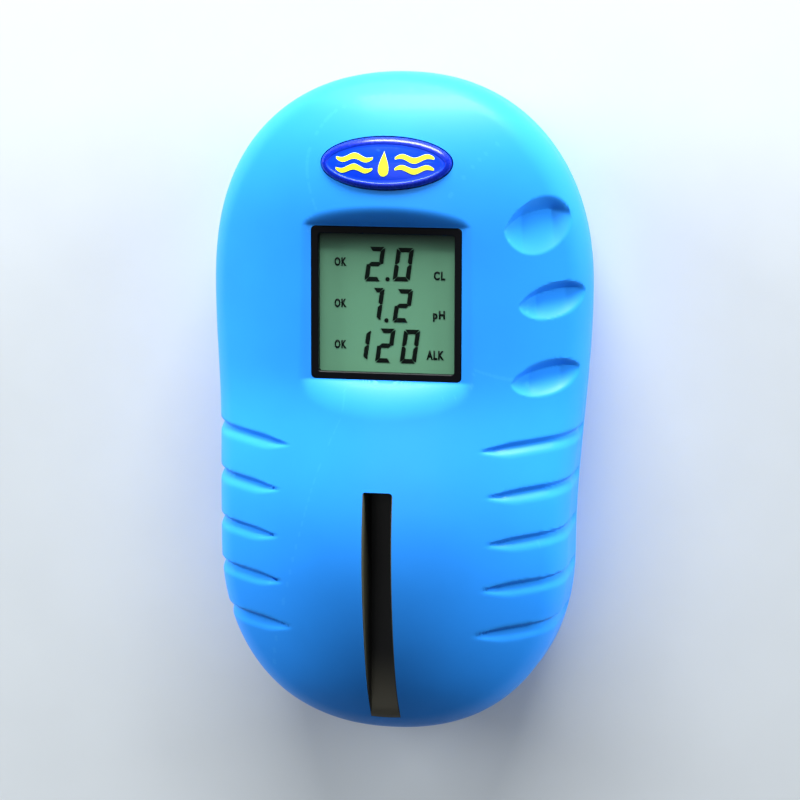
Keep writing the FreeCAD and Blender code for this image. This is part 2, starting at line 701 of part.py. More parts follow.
def rear_shell(outer):
    ceiling, base_z, bay_z = dim.tub_ceiling, dim.rear_part_z, 0.5
    back = between(outer, tray(dim.wall, dim.wall, dim.rear_round - dim.wall), REAR_Z)
    lip = prism(dim.lip_outer, dim.lip_low, dim.lip_high)
    lip = lip.cut(prism(dim.lip_inner, dim.lip_low - 0.2, dim.lip_high + 0.2))
    back = back.fuse(lip)
    half_wall = dim.wall / 2
    room = tray(half_wall, base_z, dim.rear_round - half_wall)
    tub = mid_block(dim.tub_half, dim.tub_bottom, dim.tub_top, base_z, ceiling + dim.tub_roof)
    tub = tub.cut(bay(bay_z, ceiling))
    ledge = mid_block(dim.ledge_half, dim.ledge_end, 0, dim.door_hole_z, dim.ledge_top)
    extra = tub.fuse(ledge.cut(bay(0, 5)))
    for x, y in CASE_BOSSES:
        extra = extra.fuse(rod(dim.rear_boss_r, x, y, base_z, dim.rear_boss_top))
    # trimmed to the tray, but free to stand above its edge
    room = room.fuse(mid_block(30, -50, 55, 9, 20))
    back = back.fuse(extra.common(room)).removeSplitter()

    tools = [mid_block(dim.door_half + dim.door_gap, BEYOND_STRIP_END,
                       dim.door_end + dim.door_gap, BELOW, dim.door_hole_z)]
    # grooves for the rails of the door
    tools += [block(side * (dim.door_half - 1), side * 16.5, BEYOND_STRIP_END, -5.5, 0.9, 1.7)
              for side in (-1, 1)]
    tools.append(bay(bay_z, ceiling))
    for x, y in CASE_BOSSES:
        tools.append(rod(dim.case_head_r + 0.25, x, y, BELOW, dim.case_seat_z))
        tools.append(rod(dim.case_screw_r + 0.1, x, y, 7, 13))
    # recess for the rating label
    half_wide, half_long = dim.label_wide / 2 + 0.3, dim.label_long / 2 + 0.3
    tools.append(mid_block(half_wide, dim.label_y - half_long, dim.label_y + half_long,
                           BELOW, dim.label_deep))
    # slots in the ceiling for the two solder tabs
    for side in (-1, 1):
        x = side * dim.cell_x
        tools.append(block(x - dim.tab_slot_half, x + dim.tab_slot_half,
                           BAY_TOP - 0.75, BAY_TOP + 0.1, ceiling - 1, ceiling + 3))
    piece_from_shape("rear_shell", largest(cut_each(back, tools)))


def battery_door(outer):
    """The door slides off towards the strip end."""
    door = outer.common(
        mid_block(dim.door_half, BEYOND_STRIP_END, dim.door_end, 0, dim.door_thick))
    for side in (-1, 1):
        door = door.fuse(block(side * (dim.door_half - 0.5), side * 16.2, -52, -6, 1.0, 1.6))
    # four shallow grip lines, each shorter than the one before
    grip_half, grip_y, grip_wide, grip_pitch, grip_deep = 6, -12.2, 1.0, 2.2, 0.45
    for i in range(4):
        y = grip_y - grip_pitch * i
        door = door.cut(mid_block(grip_half - 0.6 * i, y, y + grip_wide, BELOW, grip_deep))
    piece_from_shape("battery_door", door.removeSplitter())


# ------------------------------------------------------------- strip guide and button

def strip_guide(outer):
    """The channel insert, with a window over each sensor."""
    half, slot, floor_z = dim.guide_half, dim.slot_half, dim.slot_floor
    end, top = dim.guide_end, dim.guide_top
    gap = 0.15
    inner_clear = dome(dim.wall + gap, dim.crown_drop + gap, DOME_LOW, dim.inner_round - gap)
    guide = mid_block(half, end, top, floor_z - 0.01, ABOVE).common(inner_clear)
    floor = mid_block(half, end, top, GUIDE_Z, floor_z)
    guide = guide.fuse(floor.common(dome(0, 0.0, DOME_LOW, dim.edge_round)))
    tongue = mid_block(slot - 0.05, BEYOND_STRIP_END, end + 0.5, floor_z - 0.6, floor_z)
    guide = guide.fuse(tongue.common(outer))
    guide = guide.cut(
        mid_block(slot, BEYOND_STRIP_END, top - dim.guide_end_wall, floor_z, ABOVE))
    # recess for the optics window, then the openings
    pad_ys = [dim.pad_first - dim.pad_pitch * i for i in range(3)]
    guide = guide.cut(
        mid_block(2.7, pad_ys[2] - 2.1, pad_ys[0] + 2.1, GUIDE_Z - 1, floor_z - 0.65))
    for y in pad_ys:
        guide = guide.cut(mid_block(dim.sense_wide, y - dim.sense_half, y + dim.sense_half,
                                    GUIDE_Z - 1, floor_z + 1))
    piece_from_shape("strip_guide", largest(guide))


def button():
    """An oval cap whose top follows the crown, its rolled rim, its flange and its label."""
    major, minor, base, proud = dim.button_major, dim.button_minor, dim.button_base, -dim.button_proud
    cap = button_oval(major, minor, base, ABOVE).common(under_crown(proud)).Solids[0]

    def on_top(edge):
        first, last = edge.FirstParameter, edge.LastParameter
        return all(edge.valueAt(first + (last - first) * k / 5).z > base + 1 for k in range(6))

    cap = cap.makeFillet(dim.button_rim, [e for e in cap.Edges if on_top(e)])
    cap = cap.fuse(button_oval(major + dim.flange_wide, minor + dim.flange_wide, base,
                               base + dim.flange_thick))
    label_band = under_crown(proud).cut(under_crown(proud + dim.label_thick))
    label = button_oval(dim.label_major, dim.label_minor, 20, ABOVE).common(label_band)
    cap = cap.cut(label)
    label = label.common(under_crown(proud))
    piece_from_shape("button_cap", cap.removeSplitter().Solids[0])
    piece_from_shape("button_label", label.Solids[0])


# ------------------------------------------------------------------ display stack

def display_plates():
    plate("display_lens", "lens_side", "lens_side", "lens_thick", "display_y",
          "ledge_z + gasket_space + mask_thick", corner="lens_round")
    plate("display_mask", "lens_side", "lens_side", "mask_thick", "display_y",
          "ledge_z + gasket_space", opening="window_side", corner="lens_round")
    plate("lens_gasket", "lens_side - 0.1", "lens_side - 0.1", "gasket_thick", "display_y",
          "ledge_z + 0.005", opening="ledge_open + 0.05", corner="lens_round")
    plate("lcd_glass", "glass_wide", "glass_long", "glass_thick", "display_y", "glass_z")
    plate("lcd_reflector", "glass_wide - 3", "reflector_long", "reflector_thick",
          "display_y", "glass_z - reflector_thick - 0.02")


ZEBRA_Y = (("upper", "display_y + zebra_y"), ("lower", "display_y - zebra_y"))


def lcd_frame():
    """Locates the glass and the two connector strips on the board."""
    body = new_body("lcd_frame")
    rect_pad(body, "frame", "frame_wide", "frame_long", "display_y",
             "board_z + board_thick + frame_gap",
             "glass_z + glass_thick - frame_drop - board_z - board_thick - frame_gap")
    rect_pocket(body, "frame_seat", "glass_wide + 0.2", "glass_long + 0.2",
                "display_y", "glass_z - 0.05", 5)
    under_frame = "board_z + board_thick - 1"
    rect_pocket(body, "frame_well", "glass_wide - 2.6", "well_long", "display_y", under_frame, 8)
    for end, y in ZEBRA_Y:
        rect_pocket(body, "frame_slot_" + end, "zebra_wide + 0.3", "zebra_thick + 0.2",
                    y, under_frame, 8)
    piece("lcd_frame", body)


def zebra_connectors():
    tall = "glass_z - board_z - board_thick - 2*part_gap"
    piece_from_group("zebra_connectors", [
        box("zebra_" + end, "zebra_wide", "zebra_thick", tall, 0, y, PART_Z)
        for end, y in ZEBRA_Y])


# -------------------------------------------------------------------------- board

def main_pcb():
    """The board: a rectangle with a neck towards the display end and four screw holes."""
    body = new_body("main_pcb")
    outline = sketch(body, "board_outline", z="board_z")
    right = [(dim.board_half, dim.board_low), (dim.board_half, dim.board_mid),
             (dim.board_neck, dim.board_mid), (dim.board_neck, dim.board_top)]
    # lines 0 to 2 run up the right, 3 is the top, 4 to 6 run down the left, 7 is the bottom
    add_loop(outline, right + [(-x, y) for x, y in reversed(right)])
    for i in (0, 2, 4, 6):
        outline.addConstraint(Sketcher.Constraint("Vertical", i))
    for i in (1, 5):
        outline.addConstraint(Sketcher.Constraint("Horizontal", i))
    outline.addConstraint(Sketcher.Constraint("Horizontal", 1, 2, 5, 1))
    outline.addConstraint(Sketcher.Constraint("Symmetric", 7, 1, 7, 2, -2))
    outline.addConstraint(Sketcher.Constraint("Symmetric", 3, 1, 3, 2, -2))
    for tag, kind, ends, length, text in (
        ("wide", "DistanceX", (7, 1, 7, 2), 2 * dim.board_half, "2*board_half"),
        ("neck", "DistanceX", (3, 2, 3, 1), 2 * dim.board_neck, "2*board_neck"),
        ("low", "DistanceY", (7, 1, -1, 1), -dim.board_low, "-board_low"),
        ("mid", "DistanceY", (-1, 1, 1, 1), dim.board_mid, "board_mid"),
        ("high", "DistanceY", (-1, 1, 3, 1), dim.board_top, "board_top"),
    ):
        drive(outline, tag, Sketcher.Constraint(kind, *ends, length), text)
    pad(body, outline, "board_pad", "board_thick")
    holes = sketch(body, "board_holes", z="board_z - 1")
    for stud in ("top", "low"):
        x_name, y_name = "stud_%s_x" % stud, "stud_%s_y" % stud
        x, y = getattr(dim, x_name), getattr(dim, y_name)
        for side, sign in (("right", 1), ("left", -1)):
            add_circle(holes, "hole_%s_%s" % (stud, side), "board_screw_r + 0.15",
                       (sign * x, x_name), (y, y_name if y >= 0 else "-" + y_name))
    pocket(body, holes, "board_hole_pocket", 4)
    piece("main_pcb", body)


def board_parts():
    for name, label, wide, long, tall, x, y in BOARD_BLOCKS:
        piece(label, box(name, wide, long, tall, x, y, PART_Z))
    piece_from_group("smd_parts", [
        box("chip_%d" % i, *CHIP_SIZE, x, y, PART_Z) for i, (x, y) in enumerate(CHIPS)])
    piece_from_group("sensor_leds", [
        box("led_%d" % i, 1.6, 1.2, 0.8, -1.6, y, PART_Z) for i, y in enumerate(SENSE_Y)])
    piece_from_group("photodiodes", [
        box("eye_%d" % i, 2.0, 1.6, 0.9, 1.5, y, PART_Z) for i, y in enumerate(SENSE_Y)])


def bulk_capacitor():
    """A round can on a square base."""
    x, y, base_side, base_tall, can_r, can_tall = 14.5, -15, 5.4, 0.9, 2.5, 4.6
    whole = doc.addObject("Part::MultiFuse", "cap_whole")
    whole.Shapes = [
        box("cap_base", base_side, base_side, base_tall, x, y, PART_Z),
        cylinder("cap_can", can_r, can_tall, x, y, "%s + %s" % (PART_Z, base_tall))]
    piece("bulk_capacitor", whole)


def optics():
    """A light baffle with one chamber for each pad of the strip, and its window."""
    body = new_body("optics_block")
    rect_pad(body, "baffle", "baffle_wide", "2*pad_pitch + baffle_margin", SENSE_Y[1], PART_Z,
             "slot_floor - guide_floor - board_z - board_thick - 0.05")
    for i, y in enumerate(SENSE_Y):
        rect_pocket(body, "baffle_well_%d" % i, "chamber_wide", "chamber_long", y, "board_z", 12)
    piece("optics_block", body)
    plate("optics_window", "optics_wide", "2*pad_pitch + optics_margin", "optics_thick",
          SENSE_Y[1], "slot_floor - guide_floor + part_gap")


def tact_switch():
    case = doc.addObject("Part::Cut", "switch_case")
    case.Base = box("switch_box", "switch_side", "switch_side", "switch_tall",
                    0, "button_y", PART_Z)
    case.Tool = cylinder("switch_bore", "bore_r", 3, 0, "button_y",
                         "board_z + board_thick + bore_z")
    piece("tact_switch_body", case)
    piece("switch_plunger", cylinder("plunger_pin", "plunger_r", "plunger_long", 0, "button_y",
                                     "button_base - part_gap - plunger_long"))


# ------------------------------------------------------------------- power supply

def battery(label, x, turn):
    """One round cell revolved about its own axis; the small end is the positive pole."""
    body = new_body(label)
    half = sketch(body, label + "_half")
    radius, end, pole = dim.cell_r, dim.cell_long / 2, dim.pole_r
    shoulder = end - dim.pole_long
    add_loop(half, [(0, -end), (radius, -end), (radius, shoulder),
                    (pole, shoulder), (pole, end), (0, end)])
    for i in (0, 2, 4):
        half.addConstraint(Sketcher.Constraint("Horizontal", i))
    for i in (1, 3):
        half.addConstraint(Sketcher.Constraint("Vertical", i))
    half.addConstraint(Sketcher.Constraint("PointOnObject", 0, 1, -2))
    half.addConstraint(Sketcher.Constraint("PointOnObject", 4, 2, -2))
    for tag, kind, ends, length, text in (
        ("radius", "DistanceX", (0, 1, 0, 2), radius, "cell_r"),
        ("pole", "DistanceX", (4, 2, 4, 1), pole, "pole_r"),
        ("reach", "DistanceY", (0, 1, -1, 1), end, "cell_long/2"),
        ("barrel", "DistanceY", (1, 1, 1, 2), end + shoulder, "cell_long - pole_long"),
        ("nub", "DistanceY", (3, 1, 3, 2), dim.pole_long, "pole_long"),
    ):
        drive(half, tag, Sketcher.Constraint(kind, *ends, length), text)
    turned = body.newObject("PartDesign::Revolution", label + "_turn")
    turned.Profile = half
    turned.ReferenceAxis = (half, ["V_Axis"])
    turned.Angle = 360.0
    body.Placement = FreeCAD.Placement(Vec(0, 0, 0), FreeCAD.Rotation(Vec(0, 0, 1), turn))
    place(body, x, "cell_y", "cell_z")
    piece(label, body)


CONTACT_TOP = BAY_TOP - 0.05  # outer faces of the contacts at the two ends of the bay
CONTACT_LOW = BAY_LOW + 0.05
LEAF_TOP = CONTACT_TOP - dim.contact_thick  # their faces towards the cells
LEAF_LOW = CONTACT_LOW + dim.contact_thick
CELL_TOP = dim.cell_y + dim.cell_long / 2
CELL_LOW = dim.cell_y - dim.cell_long / 2


def coil(x, leaf_y, cell_y):
    """A short conical spring from a leaf to a cell, bent in short straight runs."""
    way = 1 if cell_y > leaf_y else -1
    wire, runs, pts = dim.spring_wire, 36, []
    y0 = leaf_y + way * (wire - 0.12)  # sunk a little into the leaf
    y1 = cell_y - way * (wire + 0.03)
    for i in range(runs + 1):
        f = i / runs
        angle = 2 * math.pi * dim.spring_turns * f
        radius = dim.spring_base_r + (dim.spring_end_r - dim.spring_base_r) * f
        pts.append(Vec(x + radius * math.cos(angle), y0 + (y1 - y0) * f,
                       dim.cell_z + radius * math.sin(angle)))
    hoop = Part.Wire([Part.makeCircle(wire, pts[0], pts[1] - pts[0])])
    return Part.makePolygon(pts).makePipeShell([hoop], True, False, 1)


def cone(x, leaf_y, cell_y):
    """A blunt cone from a leaf towards the positive pole of a cell."""
    way = 1 if cell_y > leaf_y else -1
    sink, gap = 0.01, 0.05
    return Part.makeCone(dim.cone_base_r, dim.cone_end_r, abs(cell_y - leaf_y) - gap + sink,
                         Vec(x, leaf_y - way * sink, dim.cell_z), Vec(0, way, 0))


def tabbed_leaf(x):
    """A flat contact with a solder tab, at the display end of the bay."""
    leaf = block(x - dim.contact_half, x + dim.contact_half, LEAF_TOP, CONTACT_TOP,
                 dim.contact_low, dim.contact_high)
    return leaf.fuse(block(x - dim.tab_half, x + dim.tab_half, LEAF_TOP, CONTACT_TOP,
                           dim.tab_low, dim.tab_high))


def contacts():
    x = dim.cell_x
    spring = tabbed_leaf(x).fuse(coil(x, LEAF_TOP, CELL_TOP))
    piece_from_shape("negative_spring", spring.removeSplitter())
    positive = tabbed_leaf(-x).fuse(cone(-x, LEAF_TOP, CELL_TOP))
    piece_from_shape("positive_contact", positive.removeSplitter())
    bridge = mid_block(x + dim.contact_half, CONTACT_LOW, LEAF_LOW,
                       dim.contact_low, dim.bridge_high)
    bridge = bridge.fuse(coil(-x, LEAF_LOW, CELL_LOW))
    bridge = bridge.fuse(cone(x, LEAF_LOW, CELL_LOW))
    piece_from_shape("bridge_contact", bridge.removeSplitter())


def lead(label, side):
    """A battery wire from a solder tab to the underside of the board."""
    radius, board_z = dim.lead_r, dim.board_z
    # share of the sideways drift, distance from the contact, z
    path = [(0, radius + 0.03, 15.2), (0.2, 1.6, 15.35), (0.6, 4.0, 15.6),
            (1, 6.0, 16.0), (1, 6.6, board_z - 0.04)]
    pts = [Vec(side * (dim.cell_x + share * dim.lead_drift), CONTACT_TOP + away, z)
           for share, away, z in path]
    curve = Part.BSplineCurve()
    curve.interpolate(pts)
    hoop = Part.Wire([Part.makeCircle(radius, pts[0], curve.tangent(curve.FirstParameter)[0])])
    pipe = Part.Wire([curve.toShape()]).makePipeShell([hoop], True, False)
    wire = pipe.common(mid_block(40, CONTACT_TOP + 0.02, 20, 10, board_z - 0.03))
    piece_from_shape(label, wire.Solids[0])


# ---------------------------------------------------------------------- fasteners

def cross_recess(x, y, z, size):
    half, deep = 0.3, 0.7
    bar = block(x - size, x + size, y - half, y + half, z - 1, z + deep)
    return bar.fuse(block(x - half, x + half, y - size, y + size, z - 1, z + deep))


def screw_set(label, spots, seat_z, head_r, head_tall, shank_r, tip_z, cross):
    """Screws driven upwards, their heads just under seat_z."""
    head_z, head_top = seat_z - head_tall, seat_z - 0.02
    screws = []
    for x, y in spots:
        screw = rod(head_r, x, y, head_z, head_top)
        screw = screw.fuse(rod(shank_r, x, y, head_top - 0.08, tip_z))
        screw = screw.cut(cross_recess(x, y, head_z, cross))
        screws.append(screw.removeSplitter().Solids[0])
    piece_from_shape(label, Part.makeCompound(screws))


# -------------------------------------------------------------------------- build

front_outer = dome(0, 0, FRONT_Z, dim.edge_round)
front_shell(front_outer)
rear_outer = tray(0, 0, dim.rear_round)
rear_shell(rear_outer)
battery_door(rear_outer)
strip_guide(front_outer)
button()
display_plates()
lcd_frame()
zebra_connectors()
main_pcb()
board_parts()
bulk_capacitor()
optics()
tact_switch()
battery("battery_1", "-cell_x", turn=0)
battery("battery_2", "cell_x", turn=180)
contacts()
lead("red_lead", -1)
lead("black_lead", 1)
screw_set("case_screws", CASE_BOSSES, seat_z=dim.case_seat_z, head_r=dim.case_head_r,
          head_tall=dim.case_head_tall, shank_r=dim.case_screw_r, tip_z=dim.case_tip_z,
          cross=dim.case_cross)
screw_set("pcb_screws", BOARD_STUDS, seat_z=dim.board_z, head_r=dim.board_head_r,
          head_tall=dim.board_head_tall, shank_r=dim.board_screw_r, tip_z=dim.board_tip_z,
          cross=dim.board_cross)
plate("rating_label", "label_wide", "label_long", 0.24, "label_y", 0.05, corner=1.5)

# ------------------------------------------------------------------------- output

doc.recompute()
for obj in doc.Objects:
    bad = [state for state in obj.State if state in ("Invalid", "Error")]
    if bad:
        raise RuntimeError("%s is %s" % (obj.Label, bad))
os.makedirs("parts", exist_ok=True)
for label, obj in PIECES.items():
    shape = obj.Shape
    if shape.isNull() or not shape.isValid():
        raise RuntimeError("bad shape in " + label)
    shape.exportStep("parts/%s.step" % label)
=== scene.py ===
# A hand-held test strip reader, lying face up on a pale floor.
# The case is 126 mm long on Y and symmetrical about x = 0, with its face towards +Z. From the
# +Y end to the -Y end the face carries an oval button, a square segment display and an open
# channel for the strip. Shapes are worked out in millimetres and built in metres.
import math

import bmesh
import bpy
import numpy as np
from mathutils import Matrix, Vector


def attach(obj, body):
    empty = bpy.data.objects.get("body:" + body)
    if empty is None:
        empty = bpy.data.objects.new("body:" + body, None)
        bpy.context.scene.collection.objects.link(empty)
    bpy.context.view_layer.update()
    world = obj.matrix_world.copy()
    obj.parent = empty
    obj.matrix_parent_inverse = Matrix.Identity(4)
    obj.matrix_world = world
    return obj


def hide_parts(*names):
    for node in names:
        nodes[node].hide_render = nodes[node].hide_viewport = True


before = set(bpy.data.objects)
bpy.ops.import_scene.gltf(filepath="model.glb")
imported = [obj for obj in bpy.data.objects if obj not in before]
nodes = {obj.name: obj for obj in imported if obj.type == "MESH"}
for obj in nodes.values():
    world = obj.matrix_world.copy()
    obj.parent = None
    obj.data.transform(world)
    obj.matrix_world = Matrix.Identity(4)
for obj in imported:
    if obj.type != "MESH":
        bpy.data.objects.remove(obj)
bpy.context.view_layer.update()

MM = 0.001
scene = bpy.context.scene

# ------------------------------------------------------------ driving dimensions, mm
# Height of the case along its middle line: y, z
SPINE = [
    (63, 17.0), (59, 21.6), (55, 24.6), (50, 27.0), (44, 28.6), (38, 29.3), (30, 29.45),
    (20, 29.5), (10, 29.6), (4, 29.9), (-2, 30.9), (-8, 32.4), (-14, 33.8), (-20, 34.7),
    (-26, 35.0), (-32, 34.8), (-38, 34.1), (-44, 33.0), (-50, 31.4), (-55, 29.4), (-59, 27.0),
    (-63, 24.4),
]
CROWN_CURVE = 0.0094      # the crown falls by this times x squared
PART_Z = 11.15            # lower edge of the front shell
CASE_END = 63.0           # the case reaches this far on +Y and -Y
CASE_WIDE = 37.0          # half width where the +Y end curve starts
CASE_NARROW = 34.05       # half width where the -Y end curve starts
WIDE_Y = 22.5
NARROW_Y = -27.0
WIDE_POWER = 2.2          # superellipse powers of the two end curves
NARROW_POWER = 2.25
CASE_POINTS = 900         # points in each ring of the shell

EDGE_RADIUS = 8.0         # rounding between side and crown
WALL_INSET = 2.2          # wall thickness at the side
WALL_DROP = 2.3           # and under the crown

DISPLAY_Y = 20.0
RECESS_Z = 26.9           # level floor round the display
DISPLAY_POCKET_Z = 24.4   # inner face of the shell under the display
BUTTON_POCKET_Z = 23.2    # and round the button
BEZEL_SIZE = 29.0
BEZEL_OPENING = 26.25
PANEL_SIZE = 27.2
LCD_Z = 25.60             # face of the segment display

BUTTON_Y = 46.5
BUTTON_HALF_X = 12.55
BUTTON_HALF_Y = 4.85
BUTTON_GAP = 0.2

CHANNEL_HALF = 2.9        # half width of the strip channel
CHANNEL_FLOOR_Z = 27.0

# Finger grooves on both sides: x and y of the inner end
GROOVES = [(18.0, -7.2), (19.6, -15.7), (19.8, -24.6), (19.0, -33.3), (17.4, -42.2)]
GROOVE_DEPTH = 0.78
# Scallops on the +X side: centre x, centre y, half length, half width, depth, tilt in degrees,
# place of the crease across the half width
SCALLOPS = [
    (28.4, 35.2, 6.9, 5.0, 2.05, 11, 0.50),
    (31.0, 21.0, 7.0, 3.2, 1.85, 11, 0.50),
    (30.0, 6.4, 7.2, 3.1, 1.8, 11, 0.48),
]


# ------------------------------------------------------------ case form
def natural_spline(points):
    """A natural cubic spline through the points, running on straight past both ends."""
    table = np.array(sorted(points), float)
    knots, heights = table[:, 0], table[:, 1]
    count, gaps = len(knots), np.diff(knots)
    slopes = np.diff(heights) / gaps
    matrix = np.zeros((count, count))
    target = np.zeros(count)
    matrix[0, 0] = matrix[-1, -1] = 1.0
    for i in range(1, count - 1):
        matrix[i, i - 1:i + 2] = gaps[i - 1], 2 * (gaps[i - 1] + gaps[i]), gaps[i]
        target[i] = 6 * (slopes[i] - slopes[i - 1])
    bend = np.linalg.solve(matrix, target)
    first_slope = slopes[0] - gaps[0] * (2 * bend[0] + bend[1]) / 6
    last_slope = slopes[-1] + gaps[-1] * (bend[-2] + 2 * bend[-1]) / 6

    def value(place):
        place = np.asarray(place, float)
        i = np.clip(np.searchsorted(knots, place) - 1, 0, count - 2)
        held = np.clip(place, knots[0], knots[-1])
        after, before, gap = knots[i + 1] - held, held - knots[i], gaps[i]
        height = (bend[i] * after ** 3 / (6 * gap) + bend[i + 1] * before ** 3 / (6 * gap)
                  + (heights[i] / gap - bend[i] * gap / 6) * after
                  + (heights[i + 1] / gap - bend[i + 1] * gap / 6) * before)
        return (height
                + np.where(place < knots[0], first_slope * (place - knots[0]), 0)
                + np.where(place > knots[-1], last_slope * (place - knots[-1]), 0))

    return value


spine = natural_spline(SPINE)


def crown(x, y):
    """Height of the case's face."""
    return spine(y) - CROWN_CURVE * x * x


def crown_normal(x, y):
    slope = (spine(y + 0.05) - spine(y - 0.05)) / 0.1
    normal = np.stack([2 * CROWN_CURVE * x, -slope, np.ones_like(x)], -1)
    return normal / np.linalg.norm(normal, axis=-1, keepdims=True)


def arc_run(x):
    """Distance from the middle line to x, measured over the crown."""
    reach = np.abs(x)
    return reach + 2 / 3 * CROWN_CURVE ** 2 * reach ** 3


def smooth(value):
    value = np.clip(value, 0, 1)
    return value * value * (3 - 2 * value)


def outline(count):
    """Evenly spaced points and outward normals round the case, clockwise from the +Y end."""
    turn = np.linspace(0, math.pi / 2, 3000)
    top = np.stack([CASE_WIDE * np.sin(turn) ** (2 / WIDE_POWER),
                    WIDE_Y + (CASE_END - WIDE_Y) * np.cos(turn) ** (2 / WIDE_POWER)], -1)
    top[-1, 1] = WIDE_Y
    part = np.linspace(0, 1, 1500)[1:-1]
    taper = 1 - part * part * (3 - 2 * part)
    middle = np.stack([CASE_NARROW + (CASE_WIDE - CASE_NARROW) * taper,
                       WIDE_Y - (WIDE_Y - NARROW_Y) * part], -1)
    low = np.stack([CASE_NARROW * np.cos(turn) ** (2 / NARROW_POWER),
                    NARROW_Y - (CASE_END + NARROW_Y) * np.sin(turn) ** (2 / NARROW_POWER)], -1)
    low[-1, 0] = 0
    half = np.concatenate([top, middle, low])
    points = np.concatenate([half, half[-2:0:-1] * np.array([-1, 1])])
    along = np.roll(points, -4, 0) - np.roll(points, 4, 0)
    along /= np.linalg.norm(along, axis=1, keepdims=True)
    normals = np.stack([-along[:, 1], along[:, 0]], -1)
    points = np.concatenate([points, points[:1]])
    normals = np.concatenate([normals, normals[:1]])
    steps = np.linalg.norm(np.diff(points, axis=0), axis=1)
    run = np.concatenate([[0], np.cumsum(steps)])
    stations = np.linspace(0, run[-1], count, endpoint=False)
    x, y, normal_x, normal_y = [np.interp(stations, run, column)
                                for column in (*points.T, *normals.T)]
    size = np.hypot(normal_x, normal_y)
    return x, y, normal_x / size, normal_y / size


def dome_rings(inset, drop, radius, walls, arcs, crowns):
    """Rings of points up the side, over the rounded edge and in towards the display's centre.

    Returns the points, their outward normals and their run from the case's middle line.
    """
    x, y, normal_x, normal_y = outline(CASE_POINTS)
    edge_x, edge_y = x - inset * normal_x, y - inset * normal_y
    centre_x, centre_y = edge_x - radius * normal_x, edge_y - radius * normal_y
    # settle the foot, where the rounding meets the crown
    foot_x, foot_y = centre_x, centre_y
    for _ in range(80):
        normal = crown_normal(foot_x, foot_y)
        foot_x = 0.5 * foot_x + 0.5 * (centre_x + radius * normal[:, 0])
        foot_y = 0.5 * foot_y + 0.5 * (centre_y + radius * normal[:, 1])
    normal = crown_normal(foot_x, foot_y)
    centre_z = crown(foot_x, foot_y) - drop - radius * normal[:, 2]
    sideways = np.stack([normal_x, normal_y, np.zeros_like(normal_x)], -1)
    total = np.arccos(np.clip((sideways * normal).sum(1), -1, 1))
    foot_run = arc_run(foot_x)
    points, normals, runs = [], [], []
    for f in np.linspace(0, 1, walls + 1)[:-1]:
        z = PART_Z + (centre_z - PART_Z) * f
        points.append(np.stack([edge_x, edge_y, z], -1))
        normals.append(sideways)
        runs.append(foot_run + radius * total + (centre_z - z))
    centre = np.stack([centre_x, centre_y, centre_z], -1)
    for f in np.linspace(0, 1, arcs + 1)[:-1]:
        direction = (sideways * (np.sin((1 - f) * total) / np.sin(total))[:, None]
                     + normal * (np.sin(f * total) / np.sin(total))[:, None])
        points.append(centre + radius * direction)
        normals.append(direction)
        runs.append(foot_run + radius * total * (1 - f))
    for f in np.linspace(1, 0, crowns + 1)[:-1]:
        x, y = f * foot_x, f * foot_y + (1 - f) * DISPLAY_Y
        points.append(np.stack([x, y, crown(x, y) - drop], -1))
        normals.append(crown_normal(x, y))
        runs.append(arc_run(x))
    return np.array(points), np.array(normals), np.array(runs)


def relief(points, run):
    """How deep the finger grooves and scallops go at each point."""
    x, y, z = points[..., 0], points[..., 1], points[..., 2]
    deepest = np.zeros_like(x)
    fade = smooth((z - 11.3) / 2.6)  # the grooves die out just above the parting edge
    for start_x, start_y in GROOVES:
        along = run - arc_run(start_x)
        middle = start_y + 2.9 * np.clip(along / 24.0, 0, 1.2) ** 1.15
        width = 0.22 + 0.78 * smooth(along / 7.0)
        offset = (y - middle) / width
        steep = smooth((1.0 - offset) / 0.75)
        gentle = smooth((offset + 2.1) / 2.4) ** 1.2
        profile = np.where(offset > 0.27, steep, gentle)
        depth = GROOVE_DEPTH * smooth((along + 0.3) / 4.0) * profile * fade
        deepest = np.maximum(deepest, depth)
    for centre_x, centre_y, half_length, half_width, full_depth, tilt, crease in SCALLOPS:
        along = run - arc_run(centre_x)
        lens = np.clip(1 - (along / half_length) ** 2, 0, 1)
        middle = centre_y + along * math.tan(math.radians(tilt))
        offset = (y - middle) / (half_width * np.maximum(lens, 0.02) ** 0.66 + 0.02)
        steep = np.clip((1.02 - offset) / (1.02 - crease), 0, 1) ** 1.12
        gentle = 1 - np.clip((crease - offset) / (crease + 1.12), 0, 1) ** 2.0
        profile = np.where(offset > crease, steep, gentle)
        depth = full_depth * np.clip(lens * 1.25, 0, 1) ** 0.85 * profile
        deepest = np.maximum(deepest, np.where(x > 0, depth, 0))
    return deepest


def recess(x, y, z):
    """Depth of the display recess: level beside the window, with a shoulder at its +Y and -Y
    ends that steepens towards it."""
    from_centre = np.abs(y - DISPLAY_Y)
    gap = np.maximum(0, from_centre - 14.65)
    high = np.maximum(0, z - RECESS_Z)
    bend = np.where(y > DISPLAY_Y, 0.135, 0.078)
    drop = bend * np.maximum(0, np.sqrt(high / bend) - gap) ** 2
    side_fade = smooth((17.4 - np.abs(x)) / 3.0)
    return np.where(from_centre < 22.5, drop * side_fade, 0)


# ------------------------------------------------------------ mesh helpers
def link_mesh(name, mesh):
    obj = bpy.data.objects.new(name, mesh)
    scene.collection.objects.link(obj)
    return obj


def grid_mesh(name, verts, faces):
    """An object from points in mm."""
    mesh = bpy.data.meshes.new(name)
    mesh.from_pydata([tuple(v) for v in np.asarray(verts) * MM], [], faces)
    mesh.update()
    return link_mesh(name, mesh)


